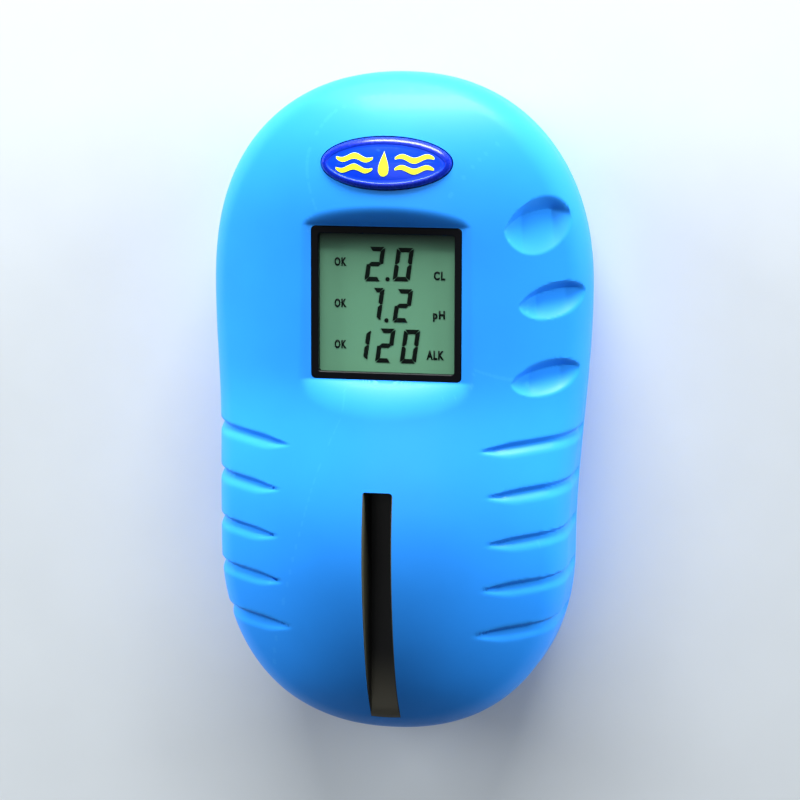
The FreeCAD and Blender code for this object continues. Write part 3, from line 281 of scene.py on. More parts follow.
def soft_shade(obj, angle):
    """Smooth shading, with sharp edges kept where faces meet at more than angle degrees."""
    work = bmesh.new()
    work.from_mesh(obj.data)
    limit = math.radians(angle)
    for edge in work.edges:
        edge.smooth = len(edge.link_faces) == 2 and edge.calc_face_angle(0) < limit
    for face in work.faces:
        face.smooth = True
    work.to_mesh(obj.data)
    work.free()


def solid(name, verts, faces, angle=None):
    """A closed mesh with its faces turned outwards, shaded smooth if an angle is given."""
    obj = grid_mesh(name, verts, faces)
    work = bmesh.new()
    work.from_mesh(obj.data)
    bmesh.ops.recalc_face_normals(work, faces=work.faces)
    work.to_mesh(obj.data)
    work.free()
    if angle is not None:
        soft_shade(obj, angle)
    return obj


def prisms(name, outlines, bottom, top):
    """Closed upright prisms, one for each outline, in one mesh."""
    verts, faces = [], []
    for points in outlines:
        base, count = len(verts), len(points)
        verts += [(x, y, bottom) for x, y in points] + [(x, y, top) for x, y in points]
        faces.append(tuple(range(base, base + count))[::-1])
        faces.append(tuple(range(base + count, base + 2 * count)))
        for i in range(count):
            j = (i + 1) % count
            faces.append((base + i, base + j, base + count + j, base + count + i))
    return solid(name, verts, faces)


def ring_faces(rings, count, start=0, flip=False):
    """Quads between neighbouring rings of points."""
    faces = []
    for ring in range(rings - 1):
        here, there = start + ring * count, start + (ring + 1) * count
        for i in range(count):
            j = (i + 1) % count
            quad = (here + i, there + i, there + j, here + j)
            faces.append(quad if flip else quad[::-1])
    return faces


def oval(half_x, half_y, centre_y, count):
    angles = [2 * math.pi * i / count for i in range(count)]
    return [(half_x * math.cos(a), centre_y + half_y * math.sin(a)) for a in angles]


def rounded_square(size, radius):
    """A square with rounded corners, centred on the display."""
    points = []
    steps = 6
    reach = size / 2 - radius
    for corner, (side_x, side_y) in enumerate(((1, 1), (-1, 1), (-1, -1), (1, -1))):
        for i in range(steps + 1):
            angle = math.pi / 2 * (corner + i / steps)
            points.append((side_x * reach + radius * math.cos(angle),
                           DISPLAY_Y + side_y * reach + radius * math.sin(angle)))
    return points


def cut(obj, tools):
    """Subtract each tool from the object, then delete the tool."""
    for tool in tools:
        modifier = obj.modifiers.new("cut", "BOOLEAN")
        modifier.operation = "DIFFERENCE"
        modifier.solver = "EXACT"
        modifier.object = tool
        depsgraph = bpy.context.evaluated_depsgraph_get()
        mesh = bpy.data.meshes.new_from_object(obj.evaluated_get(depsgraph))
        obj.modifiers.clear()
        old = obj.data
        obj.data = mesh
        bpy.data.meshes.remove(old)
        bpy.data.objects.remove(tool)


# ------------------------------------------------------------ front shell
def shell_inside():
    """Inner rings of the front shell, flattened under the display and round the button."""
    points, _, _ = dome_rings(inset=WALL_INSET, drop=WALL_DROP, radius=EDGE_RADIUS - WALL_INSET,
                              walls=3, arcs=5, crowns=44)
    x, y, z = points[..., 0], points[..., 1], points[..., 2]
    pocket_end = 39.5
    by_display = (np.abs(x) < 18.5) & (y > -0.8) & (y < pocket_end)
    z = np.where(by_display, np.minimum(z, DISPLAY_POCKET_Z), z)
    by_button = ((x / 17.0) ** 2 + ((y - BUTTON_Y) / 9.0) ** 2 < 1) & (y > pocket_end)
    points[..., 2] = np.where(by_button, np.minimum(z, BUTTON_POCKET_Z), z)
    return points


def shell_cutters():
    half, beyond = CHANNEL_HALF, -75  # the channel runs out through the -Y end
    channel = [(-half, beyond), (half, beyond), (half, -15.6), (2.7, -15.1), (2.3, -14.9),
               (-2.6, -14.9), (-half, -15.2)]
    under_channel = [(-4.2, -57.5), (4.2, -57.5), (4.2, -1.3), (-4.2, -1.3)]
    channel_mouth = [(-half, beyond), (half, beyond), (half, -57.4), (-half, -57.4)]
    button_hole = oval(BUTTON_HALF_X + BUTTON_GAP, BUTTON_HALF_Y + BUTTON_GAP, BUTTON_Y, 120)
    return [
        prisms("cut_bezel", [rounded_square(BEZEL_SIZE + 0.1, 0.9)], 25.2, 31),
        prisms("cut_panel", [rounded_square(PANEL_SIZE + 0.2, 0.5)], 22, 31),
        prisms("cut_button", [button_hole], 18, 40),
        prisms("cut_channel", [channel], CHANNEL_FLOOR_Z, 45),
        prisms("cut_under_channel", [under_channel], 25.4, 27.1),
        prisms("cut_channel_mouth", [channel_mouth], 26.3, 28),
    ]


def make_front():
    count = CASE_POINTS
    outer, normals, run = dome_rings(inset=0, drop=0, radius=EDGE_RADIUS,
                                     walls=10, arcs=20, crowns=176)
    outer = outer - normals * relief(outer, run)[..., None]
    outer[..., 2] -= recess(outer[..., 0], outer[..., 1], outer[..., 2])
    inner = shell_inside()
    rings_out, rings_in = len(outer), len(inner)
    verts = np.concatenate([outer.reshape(-1, 3), inner.reshape(-1, 3),
                            [[0, DISPLAY_Y, RECESS_Z], [0, DISPLAY_Y, DISPLAY_POCKET_Z]]])
    first_in = rings_out * count
    faces = ring_faces(rings_out, count) + ring_faces(rings_in, count, first_in, flip=True)
    hub_out, hub_in = len(verts) - 2, len(verts) - 1
    last_out = (rings_out - 1) * count
    last_in = first_in + (rings_in - 1) * count
    for i in range(count):
        j = (i + 1) % count
        faces.append((last_out + j, last_out + i, hub_out))
        faces.append((hub_in, last_in + i, last_in + j))
        faces.append((first_in + i, first_in + j, j, i))
    shell = solid("front_shell_skin", verts, faces)
    cut(shell, shell_cutters())
    soft_shade(shell, 28)
    return shell


front = make_front()
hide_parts("front_shell")
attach(front, "case")


# ------------------------------------------------------------ materials
def set_inputs(node, values):
    for socket, value in values.items():
        node.inputs[socket].default_value = value


def add_node(tree, kind, values=None, **properties):
    node = tree.nodes.new(kind)
    for key, value in properties.items():
        setattr(node, key, value)
    set_inputs(node, values or {})
    return node


def surface(name, colour, rough, vary, grain, bump, depth=0.00005, metal=0.0, coat=0.0,
            wear=0.0, wear_colour=None, spec=0.5, mottled=60.0, line=None):
    """Colour drift, fine grain in roughness and bump, and edges worn to another colour.

    vary is the drift each way, mottled its noise scale and depth the bump distance in metres.
    line is (axis, scale) of brushed bands that take the place of the grain in the bump.
    """
    material = bpy.data.materials.new(name)
    material.use_nodes = True
    tree = material.node_tree
    shader = tree.nodes["Principled BSDF"]
    link = tree.links.new
    place = add_node(tree, "ShaderNodeTexCoord").outputs["Object"]
    drift = add_node(tree, "ShaderNodeTexNoise", {"Scale": mottled, "Detail": 3})
    link(place, drift.inputs["Vector"])
    fine = add_node(tree, "ShaderNodeTexNoise", {"Scale": grain * 10, "Detail": 4})
    link(place, fine.inputs["Vector"])
    ramp = add_node(tree, "ShaderNodeValToRGB")
    dark, light = ramp.color_ramp.elements
    dark.position = 0.35
    light.position = 0.65
    dark.color = [c * (1 - vary) for c in colour] + [1]
    light.color = [min(1, c * (1 + vary)) for c in colour] + [1]
    link(drift.outputs["Fac"], ramp.inputs["Fac"])
    tone = ramp.outputs["Color"]
    if wear > 0:
        worn = wear_colour or [min(1, c * 1.3 + 0.05) for c in colour]
        geometry = add_node(tree, "ShaderNodeNewGeometry")
        edge = add_node(tree, "ShaderNodeMapRange", {"From Min": 0.52, "From Max": 0.60})
        link(geometry.outputs["Pointiness"], edge.inputs["Value"])
        amount = add_node(tree, "ShaderNodeMath", {1: wear}, operation="MULTIPLY")
        link(edge.outputs["Result"], amount.inputs[0])
        mix = add_node(tree, "ShaderNodeMix", data_type="RGBA")
        mix.inputs["B"].default_value = [*worn, 1]
        link(amount.outputs[0], mix.inputs["Factor"])
        link(tone, mix.inputs["A"])
        tone = mix.outputs["Result"]
    link(tone, shader.inputs["Base Color"])
    roughness = add_node(tree, "ShaderNodeMapRange",
                         {"To Min": max(0.02, rough - 0.05), "To Max": rough + 0.07})
    link(fine.outputs["Fac"], roughness.inputs["Value"])
    link(roughness.outputs["Result"], shader.inputs["Roughness"])
    height = fine.outputs["Fac"]
    if line:
        axis, scale = line
        wave = add_node(tree, "ShaderNodeTexWave",
                        {"Scale": scale, "Distortion": 2.0, "Detail": 3},
                        wave_type="BANDS", bands_direction=axis)
        link(place, wave.inputs["Vector"])
        height = wave.outputs["Fac"]
    relief_node = add_node(tree, "ShaderNodeBump", {"Strength": bump, "Distance": depth})
    link(height, relief_node.inputs["Height"])
    link(relief_node.outputs["Normal"], shader.inputs["Normal"])
    set_inputs(shader, {
        "Metallic": metal,
        "Specular IOR Level": spec,
        "Coat Weight": coat,
        "Coat Roughness": 0.12,
        "Subsurface Radius": (0.001, 0.002, 0.003),
    })
    return material


def ramp_along(tree, axis, start, end, low=0.0, high=1.0):
    """A smooth step from low to high along an axis, between two positions in metres."""
    place = add_node(tree, "ShaderNodeTexCoord")
    split = add_node(tree, "ShaderNodeSeparateXYZ")
    tree.links.new(place.outputs["Object"], split.inputs[0])
    step = add_node(tree, "ShaderNodeMapRange",
                    {"From Min": start, "From Max": end, "To Min": low, "To Max": high},
                    interpolation_type="SMOOTHSTEP")
    tree.links.new(split.outputs[axis], step.inputs["Value"])
    return step.outputs["Result"]


def paint_shadow_towards(material, axis, start, end, dark):
    """Darken the colour along an axis, down to the factor dark, as a painted shadow."""
    tree = material.node_tree
    target = tree.nodes["Principled BSDF"].inputs["Base Color"]
    source = target.links[0].from_socket
    factor = ramp_along(tree, axis, start, end, low=1.0, high=dark)
    product = add_node(tree, "ShaderNodeVectorMath", operation="MULTIPLY")
    tree.links.new(source, product.inputs[0])
    tree.links.new(factor, product.inputs[1])
    tree.links.new(product.outputs[0], target)


def tint_towards(material, axis, start, end, colour):
    """Blend the colour towards another along an axis."""
    tree = material.node_tree
    target = tree.nodes["Principled BSDF"].inputs["Base Color"]
    source = target.links[0].from_socket
    factor = ramp_along(tree, axis, start, end)
    mix = add_node(tree, "ShaderNodeMix", data_type="RGBA")
    mix.inputs["B"].default_value = (*colour, 1)
    tree.links.new(factor, mix.inputs["Factor"])
    tree.links.new(source, mix.inputs["A"])
    tree.links.new(mix.outputs["Result"], target)


def clear(name, tint, rough, gloss):
    """A thin clear window, with a reflection that grows at grazing angles and rub marks."""
    material = bpy.data.materials.new(name)
    material.use_nodes = True
    tree = material.node_tree
    tree.nodes.clear()
    link = tree.links.new
    output = add_node(tree, "ShaderNodeOutputMaterial")
    through = add_node(tree, "ShaderNodeBsdfTransparent", {"Color": (*tint, 1)})
    glossy = add_node(tree, "ShaderNodeBsdfGlossy")
    place = add_node(tree, "ShaderNodeTexCoord")
    rubs = add_node(tree, "ShaderNodeTexNoise", {"Scale": 900})
    roughness = add_node(tree, "ShaderNodeMapRange",
                         {"To Min": rough * 0.7, "To Max": rough * 1.6})
    link(place.outputs["Object"], rubs.inputs["Vector"])
    link(rubs.outputs["Fac"], roughness.inputs["Value"])
    link(roughness.outputs["Result"], glossy.inputs["Roughness"])
    fresnel = add_node(tree, "ShaderNodeFresnel", {"IOR": 1.45})
    amount = add_node(tree, "ShaderNodeMath", {1: gloss}, operation="MULTIPLY")
    link(fresnel.outputs[0], amount.inputs[0])
    mix = add_node(tree, "ShaderNodeMixShader")
    link(amount.outputs[0], mix.inputs[0])
    link(through.outputs[0], mix.inputs[1])
    link(glossy.outputs[0], mix.inputs[2])
    link(mix.outputs[0], output.inputs["Surface"])
    return material


# key: material name, colour, roughness, colour drift, grain, bump strength, other settings
SURFACES = {
    "shell": ("azure_moulding", (0.022, 0.27, 0.90), 0.44, 0.03, 260, 0.10,
              dict(depth=0.00003, coat=0.04, spec=0.24, wear=0.25,
                   wear_colour=(0.05, 0.36, 0.95))),
    "button": ("royal_gloss", (0.0015, 0.040, 0.66), 0.24, 0.05, 120, 0.03,
               dict(depth=0.00002, coat=0.12, spec=0.30, wear=0.25,
                    wear_colour=(0.03, 0.15, 0.85))),
    # a darker copy of the button colour for the rim: painted shade
    "button_rim": ("royal_rim", (0.0012, 0.016, 0.36), 0.26, 0.05, 120, 0.03,
                   dict(depth=0.00002, coat=0.2, spec=0.4)),
    "badge": ("badge_yellow_print", (0.80, 0.95, 0.03), 0.30, 0.05, 500, 0.05, {}),
    "mask": ("mask_black_print", (0.0015, 0.0018, 0.003), 0.42, 0.2, 600, 0.04,
             dict(spec=0.15)),
    "foam": ("gasket_foam", (0.02, 0.02, 0.02), 0.9, 0.2, 800, 0.5, dict(depth=0.0001)),
    "lcd": ("display_reflective", (0.150, 0.345, 0.215), 0.45, 0.035, 700, 0.03,
            dict(depth=0.00002, mottled=35, spec=0.3)),
    "ink": ("segment_ink", (0.002, 0.006, 0.004), 0.55, 0.2, 500, 0.02, dict(spec=0.15)),
    "film": ("silver_film", (0.7, 0.75, 0.72), 0.3, 0.05, 400, 0.1, dict(metal=0.6)),
    "white": ("white_moulding", (0.72, 0.72, 0.68), 0.45, 0.04, 300, 0.12, {}),
    "zebra": ("layered_rubber", (0.16, 0.08, 0.09), 0.7, 0.2, 300, 0.4,
              dict(depth=0.0001, line=("X", 900))),
    "board": ("solder_mask", (0.012, 0.11, 0.035), 0.32, 0.18, 120, 0.25,
              dict(depth=0.00006, coat=0.3, mottled=220)),
    "chip": ("epoxy_black", (0.018, 0.018, 0.02), 0.55, 0.15, 500, 0.3, dict(depth=0.00004)),
    "can": ("bright_can", (0.72, 0.72, 0.74), 0.22, 0.04, 260, 0.1,
            dict(metal=1.0, line=("Z", 1500))),
    "smd": ("chip_ceramic", (0.22, 0.16, 0.10), 0.5, 0.3, 500, 0.3, dict(mottled=900)),
    "led": ("clear_resin", (0.75, 0.75, 0.62), 0.15, 0.05, 300, 0.05, dict(coat=0.6)),
    "eye": ("dark_resin", (0.02, 0.008, 0.03), 0.12, 0.1, 300, 0.05, dict(coat=0.6)),
    "black": ("channel_black", (0.007, 0.007, 0.007), 0.38, 0.3, 350, 0.22,
              dict(depth=0.00004)),
    "steel": ("brushed_cover", (0.5, 0.5, 0.52), 0.3, 0.06, 400, 0.3,
              dict(metal=1.0, line=("X", 1200))),
    "nickel": ("nickel_spring", (0.66, 0.63, 0.56), 0.26, 0.06, 400, 0.2,
               dict(metal=1.0, line=("Y", 1200))),
    "red": ("wire_red", (0.5, 0.01, 0.008), 0.4, 0.06, 200, 0.1, {}),
    "wire": ("wire_black", (0.01, 0.01, 0.01), 0.4, 0.2, 200, 0.1, {}),
    "screw": ("zinc_screw", (0.48, 0.47, 0.45), 0.3, 0.08, 400, 0.3,
              dict(metal=1.0, line=("Z", 2500))),
    "paper": ("blank_label", (0.62, 0.65, 0.67), 0.4, 0.03, 300, 0.1, dict(coat=0.2)),
    "jacket_a": ("cell_jacket_a", (0.035, 0.045, 0.075), 0.25, 0.1, 200, 0.06,
                 dict(coat=0.6, wear=0.3)),
    "jacket_b": ("cell_jacket_b", (0.035, 0.045, 0.075), 0.25, 0.1, 200, 0.06,
                 dict(coat=0.6, wear=0.3)),
    "guide": ("channel_floor", (0.005, 0.005, 0.005), 0.42, 0.3, 350, 0.22,
              dict(depth=0.00004)),
    "lining": ("channel_wall", (0.008, 0.008, 0.007), 0.45, 0.3, 350, 0.22,
               dict(depth=0.00004)),
}
# key, axis, start, end (metres), colour reached at the end
TINTS = [
    ("jacket_a", "Y", -0.0398, -0.0400, (0.62, 0.64, 0.66)),
    ("jacket_b", "Y", -0.0162, -0.0160, (0.62, 0.64, 0.66)),
    # the channel floor is painted lighter towards its open -Y end: a painted highlight where
    # light falls in
    ("guide", "Y", -0.0455, -0.0580, (0.10, 0.092, 0.066)),
    # the channel walls are painted black at the floor and lighter towards the top: painted
    # shade low down, painted light at the top
    ("lining", "Z", 0.0280, 0.0335, (0.085, 0.085, 0.058)),
]
MATS = {key: surface(*row, **extra) for key, (*row, extra) in SURFACES.items()}
MATS["window"] = clear("clear_window", tint=(0.98, 0.995, 0.99), rough=0.05, gloss=0.14)
# the display face is painted darker towards its +Y edge: a painted shadow of the bezel
paint_shadow_towards(MATS["lcd"], "Y", start=0.0290, end=0.0336, dark=0.12)
for key, *tint in TINTS:
    tint_towards(MATS[key], *tint)

# CAD piece: material key
FINISH = {
    "rear_shell": "shell", "battery_door": "shell", "front_shell": "shell",
    "button_cap": "button", "button_label": "badge",
    "display_mask": "mask", "lens_gasket": "foam", "display_lens": "window",
    "lcd_glass": "lcd", "lcd_reflector": "film", "lcd_frame": "white",
    "zebra_connectors": "zebra", "main_pcb": "board", "microcontroller": "chip",
    "crystal": "can", "smd_parts": "smd", "voltage_regulator": "chip",
    "bulk_capacitor": "can", "sensor_leds": "led", "photodiodes": "eye",
    "optics_block": "black", "optics_window": "window", "strip_guide": "guide",
    "tact_switch_body": "steel", "switch_plunger": "chip",
    "battery_1": "jacket_a", "battery_2": "jacket_b", "negative_spring": "nickel",
    "positive_contact": "nickel", "bridge_contact": "nickel",
    "red_lead": "red", "black_lead": "wire",
    "case_screws": "screw", "pcb_screws": "screw", "rating_label": "paper",
}
# CAD pieces that detailed meshes stand in for
REPLACED = ("front_shell", "button_cap", "button_label", "display_mask", "display_lens")


def paint(obj, material):
    if not obj.material_slots:
        obj.data.materials.append(material)
    for slot in obj.material_slots:
        slot.material = material


def dress(obj, finish, part="case", replaces=None):
    paint(obj, MATS[finish])
    if replaces:
        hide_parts(replaces)
    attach(obj, part)


def soften(obj, angle=34):
    """Blend the shading of a CAD piece across faces that meet at less than angle degrees.

    Corner normals are averaged, weighted by corner angle; the points stay where they are.
    """
    mesh = obj.data
    loops, polygons = len(mesh.loops), len(mesh.polygons)
    if not loops:
        return
    vertex = np.zeros(loops, np.int32)
    mesh.loops.foreach_get("vertex_index", vertex)
    points = np.zeros(len(mesh.vertices) * 3)
    mesh.vertices.foreach_get("co", points)
    start = np.zeros(polygons, np.int32)
    mesh.polygons.foreach_get("loop_start", start)
    total = np.zeros(polygons, np.int32)
    mesh.polygons.foreach_get("loop_total", total)
    face_normals = np.zeros(polygons * 3)
    mesh.polygons.foreach_get("normal", face_normals)
    polygon = np.repeat(np.arange(polygons), total)
    local = np.arange(loops) - start[polygon]
    following = start[polygon] + (local + 1) % total[polygon]
    previous = start[polygon] + (local - 1) % total[polygon]
    corner = points.reshape(-1, 3)[vertex]
    ahead, behind = corner[following] - corner, corner[previous] - corner
    lengths = np.linalg.norm(ahead, axis=1) * np.linalg.norm(behind, axis=1)
    cosine = (ahead * behind).sum(1) / np.maximum(1e-18, lengths)
    weight = np.arccos(np.clip(cosine, -1, 1))
    # corners at the same place, to half a micron, form one group
    grid = np.round(corner * 2e6).astype(np.int64)
    _, place = np.unique(grid, axis=0, return_inverse=True)
    place = place.ravel()
    order = np.argsort(place, kind="stable")
    breaks = np.flatnonzero(np.diff(place[order])) + 1
    normals = face_normals.reshape(-1, 3)[polygon]
    blended = normals.copy()
    limit = math.cos(math.radians(angle))
    for group in np.split(order, breaks):
        own = normals[group]
        near = (own @ own.T) > limit
        summed = near @ (own * weight[group][:, None])
        size = np.linalg.norm(summed, axis=1, keepdims=True)
        blended[group] = np.where(size > 1e-9, summed / np.maximum(size, 1e-9), own)
    mesh.polygons.foreach_set("use_smooth", np.ones(polygons, bool))
    mesh.normals_split_custom_set([tuple(v) for v in blended])


for name, piece in nodes.items():
    paint(piece, MATS[FINISH[name]])
    if name not in REPLACED:
        soften(piece)
paint(front, MATS["shell"])

# ------------------------------------------------------------ button and badge
BUTTON_PROUD = 0.9        # rim above the crown
BUTTON_ROUNDING = 0.90    # height of the rounded rim
FLANGE_OUT = 0.9
FLANGE_BOTTOM = 22.1
FLANGE_TOP = 23.0
FACE_INSET = 1.7          # the domed face starts this far inside the rim
FACE_STEP = 0.18          # and this far below it
FACE_DOME = 0.32
SHADED_RIM_INSET = 1.15     # width of the rim painted darker: painted shade
BADGE_LIFT = 0.06
BADGE_SINK = 0.12


def make_button():
    count = 240
    turn = np.linspace(0, 2 * math.pi, count, endpoint=False)
    rim_x, rim_y = BUTTON_HALF_X * np.cos(turn), BUTTON_HALF_Y * np.sin(turn)
    normal_x, normal_y = np.cos(turn) / BUTTON_HALF_X, np.sin(turn) / BUTTON_HALF_Y
    size = np.hypot(normal_x, normal_y)
    normal_x, normal_y = normal_x / size, normal_y / size

    def under_rim(inset, drop):
        x, y = rim_x - inset * normal_x, BUTTON_Y + rim_y - inset * normal_y
        return np.stack([x, y, crown(x, y) + BUTTON_PROUD - drop], -1)

    def level(out, z):
        return np.stack([rim_x + out * normal_x, BUTTON_Y + rim_y + out * normal_y,
                         np.full(count, z)], -1)

    rings = [level(FLANGE_OUT, FLANGE_BOTTOM), level(FLANGE_OUT, FLANGE_TOP),
             level(0.0, FLANGE_TOP)]
    wall_top = under_rim(0, BUTTON_ROUNDING)
    for f in (0.3, 0.6, 0.9):
        ring = wall_top.copy()
        ring[:, 2] = FLANGE_TOP + (wall_top[:, 2] - FLANGE_TOP) * f
        rings.append(ring)
    for k in range(11):
        angle = math.pi / 2 * k / 10
        rings.append(under_rim(BUTTON_ROUNDING * 1.15 * (1 - math.cos(angle)),
                               BUTTON_ROUNDING * (1 - math.sin(angle))))
    # a shallow step inside the rim, then a gently domed face
    for inset, drop in ((1.12, 0.02), (1.22, 0.08), (1.34, 0.15), (1.46, FACE_STEP),
                        (FACE_INSET, FACE_STEP)):
        rings.append(under_rim(inset, drop))
    base = rings[-1]
    for f in np.linspace(1, 0, 22)[1:-1]:
        x, y = base[:, 0] * f, BUTTON_Y + (base[:, 1] - BUTTON_Y) * f
        z = crown(x, y) + BUTTON_PROUD - FACE_STEP + FACE_DOME * (1 - f * f)
        rings.append(np.stack([x, y, z], -1))
    peak = crown(0, BUTTON_Y) + BUTTON_PROUD - FACE_STEP + FACE_DOME
    verts = np.concatenate([np.array(rings).reshape(-1, 3),
                            [[0, BUTTON_Y, peak], [0, BUTTON_Y, FLANGE_BOTTOM]]])
    faces = ring_faces(len(rings), count)
    hub = len(rings) * count
    last = hub - count
    for i in range(count):
        j = (i + 1) % count
        faces.append((hub, last + i, last + j))
        faces.append((hub + 1, j, i))
    return solid("button_pillow", verts, faces, angle=40)


def face_height(x, y):
    """Height of the button's domed face."""
    radius = np.hypot(x / (BUTTON_HALF_X - FACE_INSET),
                      (y - BUTTON_Y) / (BUTTON_HALF_Y - FACE_INSET))
    dome = FACE_DOME * (1 - np.clip(radius, 0, 1) ** 2)
    return crown(x, y) + BUTTON_PROUD - FACE_STEP + dome


def raised_shape(name, points):
    """A thin raised print on the button: a fine grid inside a closed outline."""
    work = bmesh.new()
    face = work.faces.new([work.verts.new((x * MM, y * MM, 0)) for x, y in points])
    bmesh.ops.triangulate(work, faces=[face])
    for _ in range(3):
        long_edges = [e for e in work.edges if e.calc_length() > 0.5 * MM]
        if not long_edges:
            break
        bmesh.ops.subdivide_edges(work, edges=long_edges, cuts=1)
        bmesh.ops.triangulate(work, faces=work.faces[:])
    extruded = bmesh.ops.extrude_face_region(work, geom=work.faces[:])
    raised = {v for v in extruded["geom"] if isinstance(v, bmesh.types.BMVert)}
    for vert in work.verts:
        z = float(face_height(vert.co.x / MM, vert.co.y / MM))
        vert.co.z = (z + (BADGE_LIFT if vert in raised else -BADGE_SINK)) * MM
    bmesh.ops.recalc_face_normals(work, faces=work.faces)
    mesh = bpy.data.meshes.new(name)
    work.to_mesh(mesh)
    work.free()
    obj = link_mesh(name, mesh)
    soft_shade(obj, 40)
    return obj


def drop_outline(centre_y, size, count=48):
    """A water drop with its point towards +Y."""
    points = []
    for i in range(count):
        angle = 2 * math.pi * i / count
        x = size * 0.62 * math.sin(angle) * math.sin(angle / 2) ** 1.6
        points.append((x, centre_y + size * math.cos(angle) - size * 0.05))
    return points


def wave_outline(start, end, centre_y, swing, thick, count=60):
    """A band of one and a half waves that thins towards both ends."""
    upper, lower = [], []
    for i in range(count + 1):
        f = i / count
        x = start + (end - start) * f
        y = centre_y + swing * math.sin(f * 2 * math.pi * 1.5)
        half = thick / 2 * (0.25 + 0.75 * math.sin(math.pi * f) ** 0.5)
        upper.append((x, y + half))
        lower.append((x, y - half))
    return upper + lower[::-1]


button = make_button()
paint(button, MATS["button"])
# the rim takes the darker copy of the button's blue: painted shade on the raised rim
button.data.materials.append(MATS["button_rim"])
for face in button.data.polygons:
    across = face.center.x / MM / (BUTTON_HALF_X - SHADED_RIM_INSET)
    along = (face.center.y / MM - BUTTON_Y) / (BUTTON_HALF_Y - SHADED_RIM_INSET)
    face.material_index = 1 if across ** 2 + along ** 2 > 1 else 0
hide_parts("button_cap")
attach(button, "button")

marks = [raised_shape("badge_drop", drop_outline(centre_y=46.62, size=2.35))]
for side, letter in ((-1, "l"), (1, "r")):
    start, end = sorted((side * 2.1, side * 9.4))
    for k, offset in enumerate((1.0, -1.0)):
        band = wave_outline(start, end, BUTTON_Y + offset, swing=0.38 * side, thick=1.08)
        marks.append(raised_shape("badge_wave_%s_%d" % (letter, k), band))
for mark in marks:
    dress(mark, "badge", part="button")
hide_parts("button_label")


# ------------------------------------------------------------ display and channel lining
def stacked_squares(name, rows, ring=False):
    """Rounded squares joined in order, rows being size, z, corner radius.

    A ring joins the last row to the first; otherwise both ends are capped.
    """
    loops = [rounded_square(size, radius) for size, _, radius in rows]
    verts = [(x, y, row[1]) for row, loop in zip(rows, loops) for x, y in loop]
    count, total = len(loops[0]), len(verts)
    faces = []
    for k in range(len(rows) if ring else len(rows) - 1):
        here, there = k * count, (k + 1) % len(rows) * count
        for i in range(count):
            j = (i + 1) % count
            faces.append((here + i, here + j, there + j, there + i))
    if not ring:
        faces.append(tuple(range(count))[::-1])
        faces.append(tuple(range(total - count, total)))
    return solid(name, verts, faces, angle=30)


def make_bezel():
    bottom, top, bevel = 25.42, 26.93, 0.14
    outer_radius, inner_radius = 0.9, 0.5
    return stacked_squares("display_bezel", [
        (BEZEL_SIZE, bottom, outer_radius),
        (BEZEL_SIZE, top - bevel, outer_radius),
        (BEZEL_SIZE - 2 * bevel, top, outer_radius - bevel),
        (BEZEL_OPENING + 2 * bevel, top, inner_radius + bevel),
        (BEZEL_OPENING, top - bevel, inner_radius),
        (BEZEL_OPENING, bottom, inner_radius),
    ], ring=True)


def soft_plate(name, size, bottom, top, radius, bevel=0.05):
    return stacked_squares(name, [
        (size - 2 * bevel, bottom, radius - bevel),
        (size, bottom + bevel, radius),
        (size, top - bevel, radius),
        (size - 2 * bevel, top, radius - bevel),
    ])


def channel_lining():
    """Thin black upstands along the channel, from its floor to just under the case face."""
    bottom, thick = CHANNEL_FLOOR_Z - 0.02, 0.18
    outer, inner = CHANNEL_HALF, CHANNEL_HALF - thick
    stations = np.linspace(-58.6, -15.0, 90)
    verts, faces = [], []
    for side in (-1, 1):
        base = len(verts)
        for y in stations:
            top = max(CHANNEL_FLOOR_Z + 0.02, float(crown(CHANNEL_HALF, y)) - 0.12)
            for x, z in ((outer, bottom), (outer, top), (inner, top), (inner, bottom)):
                verts.append((side * x, y, z))
        for i in range(len(stations) - 1):
            for k in range(4):
                here, beside = base + i * 4 + k, base + i * 4 + (k + 1) % 4
                faces.append((here, beside, beside + 4, here + 4))
        end = base + (len(stations) - 1) * 4
        faces.append((base, base + 1, base + 2, base + 3))
        faces.append((end + 3, end + 2, end + 1, end))
    return solid("channel_lining", verts, faces, angle=30)


dress(make_bezel(), "mask", replaces="display_mask")
window = soft_plate("display_window", size=26.7, bottom=26.05, top=26.55, radius=0.5)
dress(window, "window", replaces="display_lens")
panel = soft_plate("display_panel", size=PANEL_SIZE, bottom=25.0, top=LCD_Z, radius=0.4)
dress(panel, "lcd")
dress(channel_lining(), "lining")

# ------------------------------------------------------------ numerals and legends
BAR = 0.84                          # width of a segment
BAR_GAP = 0.02                      # end gap of a segment
SLANT = math.tan(math.radians(8.0))
DOT_RADIUS = 0.42
# Ends of each segment, as fractions of the numeral's width and height
SEGMENTS = {
    "a": ((0, 1), (1, 1)), "b": ((1, 1), (1, 0.5)), "c": ((1, 0.5), (1, 0)),
    "d": ((0, 0), (1, 0)), "e": ((0, 0.5), (0, 0)), "f": ((0, 1), (0, 0.5)),
    "g": ((0, 0.5), (1, 0.5)),
}
DIGITS = {"0": "abcdef", "1": "bc", "2": "abged", "7": "abc"}
# Object name, numerals as (digit, left, right, bottom, top), centre of the decimal point
ROWS = [
    ("display_row_chlorine", [("2", -4.4813, -0.3712, 24.0900, 30.6275),
                              ("0", 0.9546, 5.1442, 24.2135, 30.5444)], (0.0265, 24.5472)),
    ("display_row_ph", [("7", -3.6858, -0.5038, 16.5348, 22.8593),
                        ("2", 0.9546, 4.9851, 16.4234, 22.7491)], (-0.1856, 16.7502)),
    ("display_row_alkalinity", [("1", -7.1835, -3.1024, 8.9932, 14.9329),
                                ("2", -2.4130, 1.6175, 8.6812, 15.1900),
                                ("0", 2.3600, 6.3904, 8.6787, 15.1090)], None),
]
ROW_PITCH = 7.8424                  # between the OK legends
